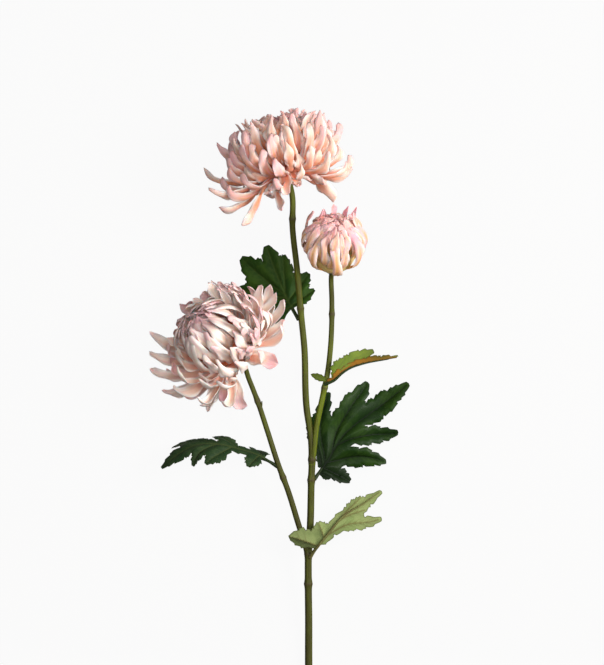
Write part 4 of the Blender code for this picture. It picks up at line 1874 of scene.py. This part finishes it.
class LeafMesh:
    """Makes a leaf's blade: a fine closed sheet, thin at its rim, its veins sunk above and raised below."""

    def __init__(self, leaf: Leaf) -> None:
        """Keeps the leaf.

        Args:
            leaf: The leaf whose blade it makes.
        """
        self.leaf = leaf

    def coarse_outline(self) -> list[Vector]:
        """The lobes, the web and the petiole laid over each other and walked round once.

        Returns:
            The outline's corners in order.
        """
        leaf, half, wide = self.leaf, PETIOLE_HALF_WIDTH, self.leaf.web
        low, high = leaf.petiole, leaf.petiole + 6
        far = max(lobe.root for lobe in leaf.lobes) + 8
        loops = [
            [Vector(corner) for corner in ((0, -half), (high, -half), (high, half), (0, half))],
            [Vector(end) for end in ((low, 0), (high, -wide), (far, -wide), (far, wide), (high, wide))],
        ]
        for lobe in leaf.lobes:
            right = [lobe.place(share, -out) for share, out in LOBE_EDGE]
            left = [lobe.place(share, out) for share, out in reversed(LOBE_EDGE)]
            loops.append([*right, lobe.place(1, 0), *left])
        points, _, triangles, *_ = delaunay_2d_cdt(*closed_loops(loops), [], 1, 0.01)
        outline = [points[k] for k in rim_of(triangles)]
        return [point for k, point in enumerate(outline) if (point - outline[k - 1]).length > 0.5]

    def towards_tip(self, start: Vector, end: Vector) -> bool:
        """Whether this stretch of the outline runs towards the tip of its lobe, and not away from it.

        Args:
            start: The stretch's start.
            end: Its end.

        Returns:
            True where it does.
        """
        middle = (start + end) / 2
        tips = [lobe.place(1, 0) for lobe in self.leaf.lobes]
        near = min(tips, key=lambda tip: (tip - middle).length)
        return (near - end).length < (near - start).length

    def outline(self) -> list[Vector]:
        """The outline with its straight stretches rounded outwards and toothed towards the tips.

        Returns:
            The outline's points in order.
        """
        coarse = self.coarse_outline()
        fine = []
        for start, end in zip(coarse, coarse[1:] + coarse[:1]):
            way = end - start
            count = max(1, round(way.length / self.leaf.spacing * 1.6))
            out = Vector((way.y, -way.x)).normalized()
            on_petiole = max(start.x, end.x) < self.leaf.petiole + 2
            bulge = 0.0 if on_petiole else min(0.06 * way.length, 0.6)
            teeth = 0 if on_petiole else max(1, round(way.length / TOOTH_LENGTH))
            forward = self.towards_tip(start, end)
            for k in range(count):
                t = k / count
                step = (t if forward else 1 - t) * teeth % 1
                tooth = self.leaf.tooth * min(step / 0.8, (1 - step) / 0.2) ** 1.3 if teeth and k else 0.0
                fine.append(start + way * t + out * (bulge * math.sin(math.pi * t) + tooth))
        return fine

    def triangulation(self) -> tuple[np.ndarray, list, list[int]]:
        """The flat blade cut into triangles.

        Returns:
            Its points, its triangles and the numbers of the points round its rim.
        """
        outline = self.outline()
        points, edges = closed_loops([outline])
        spacing = self.leaf.spacing
        for vein in self.leaf.veins:
            count = max(2, round((vein.end - vein.start).length / spacing))
            first = len(points)
            points += [vein.start.lerp(vein.end, k / count) for k in range(count + 1)]
            edges += [(first + k, first + k + 1) for k in range(count)]
        rim = np.array([tuple(point) for point in outline])
        low, high = rim.min(0), rim.max(0)
        rows = np.arange(low[1], high[1], spacing * 0.87)
        grid = np.array([
            (x + (spacing / 2 if number % 2 else 0.0), y)
            for number, y in enumerate(rows) for x in np.arange(low[0], high[0], spacing)
        ])
        clear = np.full(len(grid), 1e9)
        for start, end in zip(rim, np.roll(rim, -1, axis=0)):
            clear = np.minimum(clear, distance_to(grid, start, end)[0])
        for vein in self.leaf.veins:
            away = distance_to(grid, np.array(vein.start), np.array(vein.end))[0]
            clear = np.minimum(clear, away + spacing * 0.1)
        points += [Vector(point) for point in grid[clear > spacing * 0.5]]
        flat, _, triangles, *_ = delaunay_2d_cdt(points, edges, [], 1, 0.02)
        used = sorted({k for face in triangles for k in face})
        number = {old: new for new, old in enumerate(used)}
        faces = [tuple(number[k] for k in face) for face in triangles]
        return np.array([tuple(flat[k]) for k in used]), faces, rim_of(faces)

    def build(self, finish: Material) -> bpy.types.Object:
        """Makes the blade.

        Args:
            finish: Its material.

        Returns:
            The object.
        """
        leaf = self.leaf
        flat, faces, rim = self.triangulation()
        vein, crease = np.zeros(len(flat)), np.zeros(len(flat))
        for stretch in leaf.veins:
            distance, share = distance_to(flat, np.array(stretch.start), np.array(stretch.end))
            width, strength = blend(*stretch.widths, share), blend(*stretch.strengths, share)
            vein = np.maximum(vein, strength * np.exp(-((distance / width) ** 2)))
            crease = np.maximum(crease, strength * np.exp(-distance / stretch.reach))
        edge = np.full(len(flat), 1e9)
        loop = flat[rim]
        for start, end in zip(loop, np.roll(loop, -1, axis=0)):
            edge = np.minimum(edge, distance_to(flat, start, end)[0])
        half = leaf.thickness / 2 * np.clip(edge / FULL_THICKNESS_FROM, RIM_THICKNESS, 1.0)
        build = bmesh.new()
        sheets = ([], [])
        for k, (u, v) in enumerate(flat):
            place, normal = leaf.place(u, v), leaf.normal(u, v)
            pillow = leaf.relief * (1 - crease[k]) * min(RIM_RELIEF + edge[k] / RELIEF_REACH, 1.0)
            top = pillow + half[k] - leaf.groove * vein[k]
            under = pillow - half[k] - leaf.rib * vein[k] * min(1.0, edge[k])
            sheets[0].append(build.verts.new(to_frame(place + normal * top)))
            sheets[1].append(build.verts.new(to_frame(place + normal * under)))
        for a, b, c in faces:
            build.faces.new((sheets[0][a], sheets[0][b], sheets[0][c]))
            build.faces.new((sheets[1][c], sheets[1][b], sheets[1][a]))
        for a, b in zip(rim, rim[1:] + rim[:1]):
            build.faces.new((sheets[0][b], sheets[0][a], sheets[1][a], sheets[1][b]))
            for sheet in sheets:
                build.edges.get((sheet[a], sheet[b])).smooth = False
        name = leaf.name + "_blade"
        mesh = bpy.data.meshes.new(name)
        values = {
            "vein": vein,
            "crease": crease,
            "rim": np.exp(-((edge / RIM_REACH) ** 2)),
            "along": flat[:, 0] / leaf.length,
            "inside": np.ones(len(flat)),
        }
        order = [vertex for pair in zip(*sheets) for vertex in pair]
        build.verts.index_update()
        numbers = [vertex.index for vertex in order]
        bmesh.ops.recalc_face_normals(build, faces=build.faces)
        build.to_mesh(mesh)
        build.free()
        for key, column in values.items():
            both = np.repeat(column, 2)
            if key == "inside":
                both[1::2] = -1
            filled = np.zeros(len(numbers), np.float32)
            filled[numbers] = both
            mesh.attributes.new(key, "FLOAT", "POINT").data.foreach_set("value", filled)
        mesh.shade_smooth()
        mesh.materials.append(finish)
        return add_object(name, mesh)


LEAVES = (
    Leaf(
        "top_leaf",
        ((-8.9, 268, 30.6), (-16, 281, 25), (-21, 293, 20.5), (-27, 308, 18), (-32.5, 323, 16)),
        ((0.05, -0.15, 1), (-0.3, 0.1, 1)),
        (
            (18, 0, 44, 9.5), (21, 32, 47, 11), (18, 57, 42, 8.5), (14, 76, 38, 7.5), (10, 92, 22, 6),
            (22, -20, 30, 8), (15, -58, 27, 8), (10, -84, 22, 7),
        ),
        fold=(-23, -2),
        curl=(0.3, 0.2),
        relief=3.8,
    ),
    Leaf(
        "left_leaf",
        (
            (-26.2, 154, 22.5), (-37, 160.5, 24), (-52, 165.5, 25), (-70, 169.5, 26), (-88, 168.5, 26),
            (-103, 160, 25), (-113, 151, 23),
        ),
        ((0.3, 0.8, 0.55), (-0.25, 0.75, 0.65)),
        (
            (52, 0, 44, 7), (48, 34, 30, 6), (36, 46, 30, 7), (14, 70, 17, 7), (46, -26, 40, 6.5),
            (32, -46, 26, 7), (12, -78, 20, 8.5),
        ),
        fold=(-8, -16),
        curl=(-0.4, -0.9),
        wave=1.5,
    ),
    Leaf(
        "bract_leaf",
        (
            (14.5, 217.5, 29.4), (19.5, 220.8, 31.0), (24.5, 225.2, 31.5), (32, 229.8, 31),
            (41, 232.6, 29.5), (61.8, 236.0, 26), (69.5, 237.2, 23.5),
        ),
        ((-0.1, 0.1, 0.95), (0.0, 0.3, 0.95)),
        ((3, 0, 54, 3.0), (4, 12, 36, 5.6), (5, 26, 17, 5.0), (2, 128, 16, 3.0)),
        fold=(10, 146),
        curl=(0.5, -0.6),
        petiole=3.0,
        web=3.0,
        relief=0.9,
    ),
    Leaf(
        "right_leaf",
        (
            (5.7, 144.6, 17.0), (13.5, 155.5, 13), (27.5, 177, 10.5), (41, 189, 9), (57, 200, 8),
            (77.5, 217, 10),
        ),
        ((0.1, -0.2, 1), (-0.1, 0.1, 1)),
        (
            (38, 0, 65, 8.5), (22, 20.5, 60, 8.5), (12, 40, 51, 6.2), (7, 46, 40, 5), (29, -28, 52, 7.5),
            (14, -46, 52, 8.5), (9, -80, 24, 6), (4, -82, 10, 3.5),
        ),
        fold=(-4, 2),
        curl=(0.1, -0.2),
        wave=2.2,
        web=3.5,
        relief=4.4,
    ),
    Leaf(
        "low_leaf",
        ((2.1, 84.2, 16.9), (6.5, 90.5, 22), (15, 101, 25), (28, 115.5, 25), (42, 124, 23), (56.5, 134, 18)),
        ((0.27, 0.42, -0.86), (0.2, -0.3, -1)),
        (
            (22, 0, 53, 5), (34, 12, 24, 4.5), (21, 23, 45, 5.5), (38, -14, 22, 3.5), (18, -60, 13, 7),
            (10, -104, 24, 8.5),
        ),
        fold=(8, -4),
        curl=(0.3, -0.5),
        wave=1.0,
        slot=Slot.PALE_LEAF,
    ),
)

TOP_HEAD = Head((-16, 376.5, 44.5), (-0.22, 0.97, -0.06), 45)
LEFT_HEAD = Head((-59.1, 239.5, 31.5), (-0.59, 0.52, 0.6), -25)
YOUNG_HEAD = Head((18, 308, 37), (0.05, 0.72, 0.7), 30)

# Petals placed one by one, which give each bloom its outline. A row holds a Petal's values, in their order
TOP_BLUNTS = (
    (335, (6.5, 4.0), (100, 152, 158), 42, 9.0, 8, 10),
    (352, (6.5, 4.5), (96, 132, 172), 35, 11.0, 4, 0),
    (342, (6.5, 4.2), (98, 140, 150), 27, 10.0, -4, 8),
    (12, (6.5, 4.0), (100, 138, 150), 25, 9.5, 0, 0),
    (72, (6.5, 3.8), (108, 148, 132), 41, 12.5, 6, -48),
    (50, (6.5, 4.0), (106, 130, 120), 33, 10.0, 0, -30),
)
TOP_ACCENTS = (
    (97, (6.5, 4.2), (114, 112, 42), 49, 9.0, 0, -30),
    (276, (6.5, 3.6), (110, 144, 120), 51, 9.0, 0, 20),
    (268, (6.5, 4.2), (108, 122, 56), 58, 8.5, 0, 0),
    (282, (6.5, 4.4), (104, 102, 40), 62, 9.0, 0, 0),
    (264, (6.5, 4.8), (98, 82, 22), 65, 9.0, 0, 0),
)
LEFT_BLUNTS = (
    (25, (6.5, 4.0), (108, 113, 112), 39, 11.5, 0, 0),
    (318, (6.5, 4.0), (104, 132, 132), 42, 11.5, 0, 0),
    (352, (6.5, 4.0), (108, 136, 132), 26, 10.0, 0, 0),
    (300, (6.5, 4.0), (102, 124, 118), 34, 10.0, 0, 0),
)
LEFT_ACCENTS = (
    (279, (6.5, 4.0), (102, 116, 104), 44, 9.5, 12, 0),
    (262, (6.5, 4.5), (100, 78, 24), 60, 8.6, 0, 0),
    (250, (6.5, 5.0), (96, 60, 6), 65, 9.0, 0, 0),
    (235, (6.5, 5.0), (90, 54, 6), 63, 8.6, 0, 0),
    (225, (6.0, 6.0), (80, 38, 0), 65, 8.6, 0, 0),
    (82, (6.5, 6.0), (101, 100, 40), 58, 9.4, -9, -10),
    (59, (6.5, 4.0), (104, 98, 70), 48, 10.0, 7, -14),
    (84, (6.5, 7.0), (85, 68, 56), 55, 9.4, -4, 12),
    (77, (6.5, 7.9), (81, 88, 56), 56, 9.4, -1, -6),
    (92, (6.5, 6.0), (92, 84, 52), 57, 9.0, -6, 16),
    (42, (6.5, 4.9), (107, 80, 64), 38, 12.0, 8, -24),
    (52, (6.5, 5.7), (98, 74, 50), 42, 11.4, 6, -24),
)
YOUNG_ACCENTS = (
    (128, (4.0, 8.0), (40, 18, 28), 45, 5.6, 6, 20),
    (160, (4.0, 8.0), (44, 20, 22), 42, 6.0, -6, -20),
    (182, (4.0, 8.0), (44, 22, 14), 41, 5.6, 4, 10),
    (214, (4.0, 8.0), (50, 24, 16), 38, 6.2, -8, 0),
)


# The studio


@dataclass(frozen=True)
class Studio:
    """A plain pale floor, soft light with its key from the right, and a camera straight above."""

    pixel: float = 0.77
    picture: tuple[int, int] = (604, 665)
    stem_pixel: tuple[float, float] = (308.7, 665.0)
    focus_height: float = 30.0
    lens: float = 400.0
    sensor: float = 36.0

    def centre(self) -> Vector:
        """The plan point in the middle of the picture, at the height where its scale holds.

        Returns:
            The point.
        """
        across = (self.picture[0] / 2 - self.stem_pixel[0]) * self.pixel
        up = (self.stem_pixel[1] - self.picture[1] / 2) * self.pixel
        return Vector((across, up, self.focus_height))

    def build(self) -> None:
        """Sets up floor, lights, world and camera."""
        self.add_floor()
        self.add_light("key", (0.90, 0.24, 0.80), 0.45, 17.0, (1.0, 0.98, 0.95))
        self.add_light("top", (0.06, 0.22, 1.35), 0.8, 9.5, (1.0, 0.99, 0.98))
        world = bpy.data.worlds.new("studio")
        world.use_nodes = True
        background = world.node_tree.nodes["Background"]
        background.inputs["Color"].default_value = (1.0, 1.0, 1.0, 1.0)
        background.inputs["Strength"].default_value = 0.12
        bpy.context.scene.world = world
        bpy.context.scene.view_settings.view_transform = "Standard"
        self.add_camera()

    def add_floor(self) -> None:
        """A wide pale sheet, which looks nearly white and takes soft shadows."""
        build = bmesh.new()
        bmesh.ops.create_grid(build, x_segments=1, y_segments=1, size=12.0)
        mesh = bpy.data.meshes.new("floor")
        build.to_mesh(mesh)
        build.free()
        material = bpy.data.materials.new("pale_floor")
        material.use_nodes = True
        graph = Graph(material.node_tree)
        shader = material.node_tree.nodes["Principled BSDF"]
        graph.feed(shader.inputs["Base Color"], (0.3, 0.29, 0.28))
        graph.feed(shader.inputs["Roughness"], 0.9)
        seen = graph.add("ShaderNodeLightPath").outputs["Is Camera Ray"]
        glow = graph.add("ShaderNodeEmission", {"Color": WHITE, "Strength": 1.0}).outputs[0]
        share = graph.times(seen, 0.94)
        both = graph.add("ShaderNodeMixShader", {0: share, 1: shader.outputs[0], 2: glow}).outputs[0]
        graph.feed(material.node_tree.nodes["Material Output"].inputs["Surface"], both)
        mesh.materials.append(material)
        add_object("floor", mesh)

    def add_light(self, name: str, place: Triple, size: float, power: float, colour: Colour) -> None:
        """A square soft light that faces the middle of the spray.

        Args:
            name: The light's name.
            place: Where it is, in metres.
            size: Its side, in metres.
            power: Its power, in watts.
            colour: Its colour.
        """
        light = bpy.data.lights.new(name, "AREA")
        light.size = size
        light.energy = power
        light.color = colour
        lamp = bpy.data.objects.new(name, light)
        lamp.location = Vector(place)
        lamp.rotation_euler = (Vector(place) - to_frame(self.centre())).to_track_quat("Z", "Y").to_euler()
        bpy.context.scene.collection.objects.link(lamp)

    def add_camera(self) -> None:
        """A long lens, straight above the middle of the picture."""
        camera = bpy.data.cameras.new("camera")
        camera.lens = self.lens
        camera.sensor_width = self.sensor
        height = self.picture[1] * self.pixel * MM * self.lens / self.sensor
        camera.clip_end = height * 4
        holder = bpy.data.objects.new("camera", camera)
        holder.location = to_frame(self.centre()) + UP * height
        bpy.context.scene.collection.objects.link(holder)
        bpy.context.scene.camera = holder


class Spray:
    """The whole spray, built piece by piece."""

    def __init__(self) -> None:
        """Builds the trees and materials that its pieces share."""
        groups = SharedGroups()
        self.blades = BladeTree()
        self.tubes = TubeTree()
        # The top bloom's petals are painted a little darker and the left bloom's lighter, with lighter
        # roots: painted shade and painted light that set each bloom's brightness over the petals' own
        # colours
        self.top_petal = PetalFinish(
            "top_petal", CORAL, (0.78, 0.32, 0.18), (0.88, 0.71, 0.60), PINK,
            (0.94, 0.88, 0.84), 0.5, groove=0.65, blush=0.55,
        ).material(groups)
        self.left_petal = PetalFinish(
            "left_petal", (0.90, 0.38, 0.25), (0.92, 0.58, 0.44), (0.95, 0.84, 0.76), PINK,
            (0.97, 0.92, 0.88), 0.34, groove=0.45, blush=0.45,
        ).material(groups)
        self.young_petal = PetalFinish(
            "young_petal", (0.66, 0.50, 0.16), (0.80, 0.42, 0.14), (0.90, 0.62, 0.52), (0.87, 0.42, 0.50),
            (0.95, 0.80, 0.80), 0.26, groove=0.95, blush=0.7,
        ).material(groups)
        self.young_core = PetalFinish(
            "young_core", (0.62, 0.46, 0.16), (0.66, 0.46, 0.18), (0.72, 0.46, 0.22), (0.72, 0.46, 0.22),
            (0.72, 0.46, 0.22), 0.5,
        ).material(groups)
        self.core = PetalFinish(
            "bloom_core", CORAL, CORAL, (0.80, 0.30, 0.17), (0.80, 0.30, 0.17),
            (0.80, 0.30, 0.17), 0.5,
        ).material(groups)
        self.stem, self.stalk, self.pale_stalk, self.calyx = (
            StemFinish(name, young, old, BARK).material(groups)
            for name, young, old in (
                ("stem_skin", (0.13, 0.17, 0.008), (0.042, 0.038, 0.007)),
                ("petiole_skin", (0.018, 0.036, 0.006), (0.012, 0.02, 0.005)),
                ("pale_petiole_skin", (0.16, 0.17, 0.05), (0.11, 0.075, 0.03)),
                ("calyx_skin", (0.10, 0.13, 0.03), (0.06, 0.06, 0.02)),
            )
        )
        self.leaf_finishes = self.build_leaf_finishes(groups)

    @staticmethod
    def build_leaf_finishes(groups: SharedGroups) -> dict[str, Material]:
        """The leaves' materials, by leaf.

        Args:
            groups: The shared shader groups.

        Returns:
            The materials.
        """
        # On this leaf the upper face's crease and vein colours are darker than the blade: painted shade in
        # the folds along its veins; near darkens its base: a painted shadow of the stems over it
        dark = LeafFinish(
            "dark_leaf", (0.007, 0.028, 0.002), (0.026, 0.066, 0.005), (0.10, 0.16, 0.06),
            (0.14, 0.20, 0.08), (0.003, 0.010, 0.001), (0.001, 0.003, 0.001), (0.17, 0.22, 0.09),
            (0.006, 0.015, 0.003),
            near=(0.003, 0.010, 0.001), near_to=0.2, roughness=0.42,
        ).material(groups)
        dusky = LeafFinish(
            "dusky_leaf", (0.014, 0.038, 0.012), (0.045, 0.08, 0.03), (0.10, 0.16, 0.06), (0.14, 0.20, 0.08),
            (0.006, 0.018, 0.004), (0.05, 0.07, 0.02), (0.17, 0.22, 0.09), (0.03, 0.045, 0.012),
            roughness=0.42,
        ).material(groups)
        green = LeafFinish(
            "green_leaf", (0.017, 0.056, 0.005), (0.05, 0.11, 0.012), (0.10, 0.16, 0.06), (0.14, 0.20, 0.08),
            (0.008, 0.024, 0.003), (0.05, 0.09, 0.015), (0.17, 0.22, 0.09), (0.012, 0.025, 0.004),
            roughness=0.45,
        ).material(groups)
        pale = LeafFinish(
            "pale_leaf", (0.02, 0.06, 0.012), (0.03, 0.08, 0.018), (0.17, 0.23, 0.075), (0.25, 0.30, 0.115),
            (0.05, 0.1, 0.02), (0.04, 0.06, 0.015), (0.10, 0.055, 0.014), (0.05, 0.045, 0.012),
            roughness=0.55,
        ).material(groups)
        bract = LeafFinish(
            "bract_leaf_skin", (0.07, 0.13, 0.012), (0.14, 0.20, 0.02), (0.22, 0.075, 0.008),
            (0.28, 0.14, 0.015), (0.20, 0.25, 0.03), (0.10, 0.13, 0.03), (0.18, 0.08, 0.02),
            (0.05, 0.045, 0.01),
            near=(0.02, 0.045, 0.008), near_to=-0.02, far=(0.022, 0.045, 0.008), far_from=0.62,
        ).material(groups)
        return {
            "top_leaf": green, "left_leaf": dusky, "right_leaf": dark, "bract_leaf": bract, "low_leaf": pale,
        }

    def build(self) -> None:
        """Builds every piece, from the stems to the petals."""
        heads = (TOP_HEAD, LEFT_HEAD, YOUNG_HEAD)
        Stems().build(self.tubes, self.stem, heads)
        for leaf in LEAVES:
            stalk = self.pale_stalk if leaf.slot == Slot.PALE_LEAF else self.stalk
            leaf.build(self.leaf_finishes[leaf.name], self.tubes, stalk)
        for name, head in zip(("top_calyx", "left_calyx", "young_calyx"), heads):
            Calyx(name, head).build(self.blades, self.calyx)
        top = [
            *Whorls(11, 34).open_bloom(ball_length=60, skirt=48),
            *(Petal(*row, hook=20, cup=40, fold=-0.4) for row in TOP_ACCENTS),
            *(Petal(*row, hook=10, cup=36, hood=34, point=0.1, rosy=0.2, fold=0.5) for row in TOP_BLUNTS),
            *Whorls(21, 30).fillers(55),
            *Whorls(31, 54).crown(50, 30),
            *Whorls(41, 27, -4, 84).hooks(),
            *Whorls(71, 8, 84, 40).collar(),
            *Whorls(61, 6, 2, 56).bib(),
            *Whorls(73, 10, 266, 40).collar(),
            *Whorls(51, 12).heart(31),
        ]
        left = [
            *Whorls(5, 36).open_bloom(ball_length=66, skirt=44),
            *(Petal(*row, hook=20, cup=44, fold=-0.4) for row in LEFT_ACCENTS),
            *(Petal(*row, hook=0, cup=36, hood=10, point=0.08, rosy=0.8, fold=0.5) for row in LEFT_BLUNTS),
            *Whorls(22, 38).fillers(60),
            *Whorls(32, 8).crown(52, 0),
            *Whorls(42, 12, 4, 70).hooks(),
            *Whorls(72, 30, 88, 84).collar(),
            *Whorls(52, 12).heart(36),
        ]
        left = [petal for petal in left if not petal.hides_stem]
        young = [
            *Whorls(3, 44).young_bloom(),
            *(Petal(*row, cup=30, rosy=0.9) for row in YOUNG_ACCENTS),
            *Whorls(23, 40).fillers(53),
            *Whorls(53, 16).heart(31),
        ]
        # ball_radii set how far the painted shade of each bloom's hollows reaches; the left bloom's are
        # smaller, which keeps it lighter
        blooms = (
            Bloom("top_bloom", TOP_HEAD, top, 38, 20, (19, 33), 1.0),
            Bloom("left_bloom", LEFT_HEAD, left, 38, 20, (14, 28), 2.0, breadth=1.14),
            Bloom("young_bloom", YOUNG_HEAD, young, 34, 17, (16, 25), 3.0),
        )
        finishes = (
            (self.top_petal, self.core), (self.left_petal, self.core), (self.young_petal, self.young_core),
        )
        for bloom, (finish, core) in zip(blooms, finishes):
            bloom.build(self.blades, finish, core)


def main() -> None:
    """Loads the frame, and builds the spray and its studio."""
    logging.basicConfig(level=logging.INFO, format="%(name)s %(message)s")
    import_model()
    Spray().build()
    Studio().build()
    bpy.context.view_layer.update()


if __name__ == "__main__":
    main()
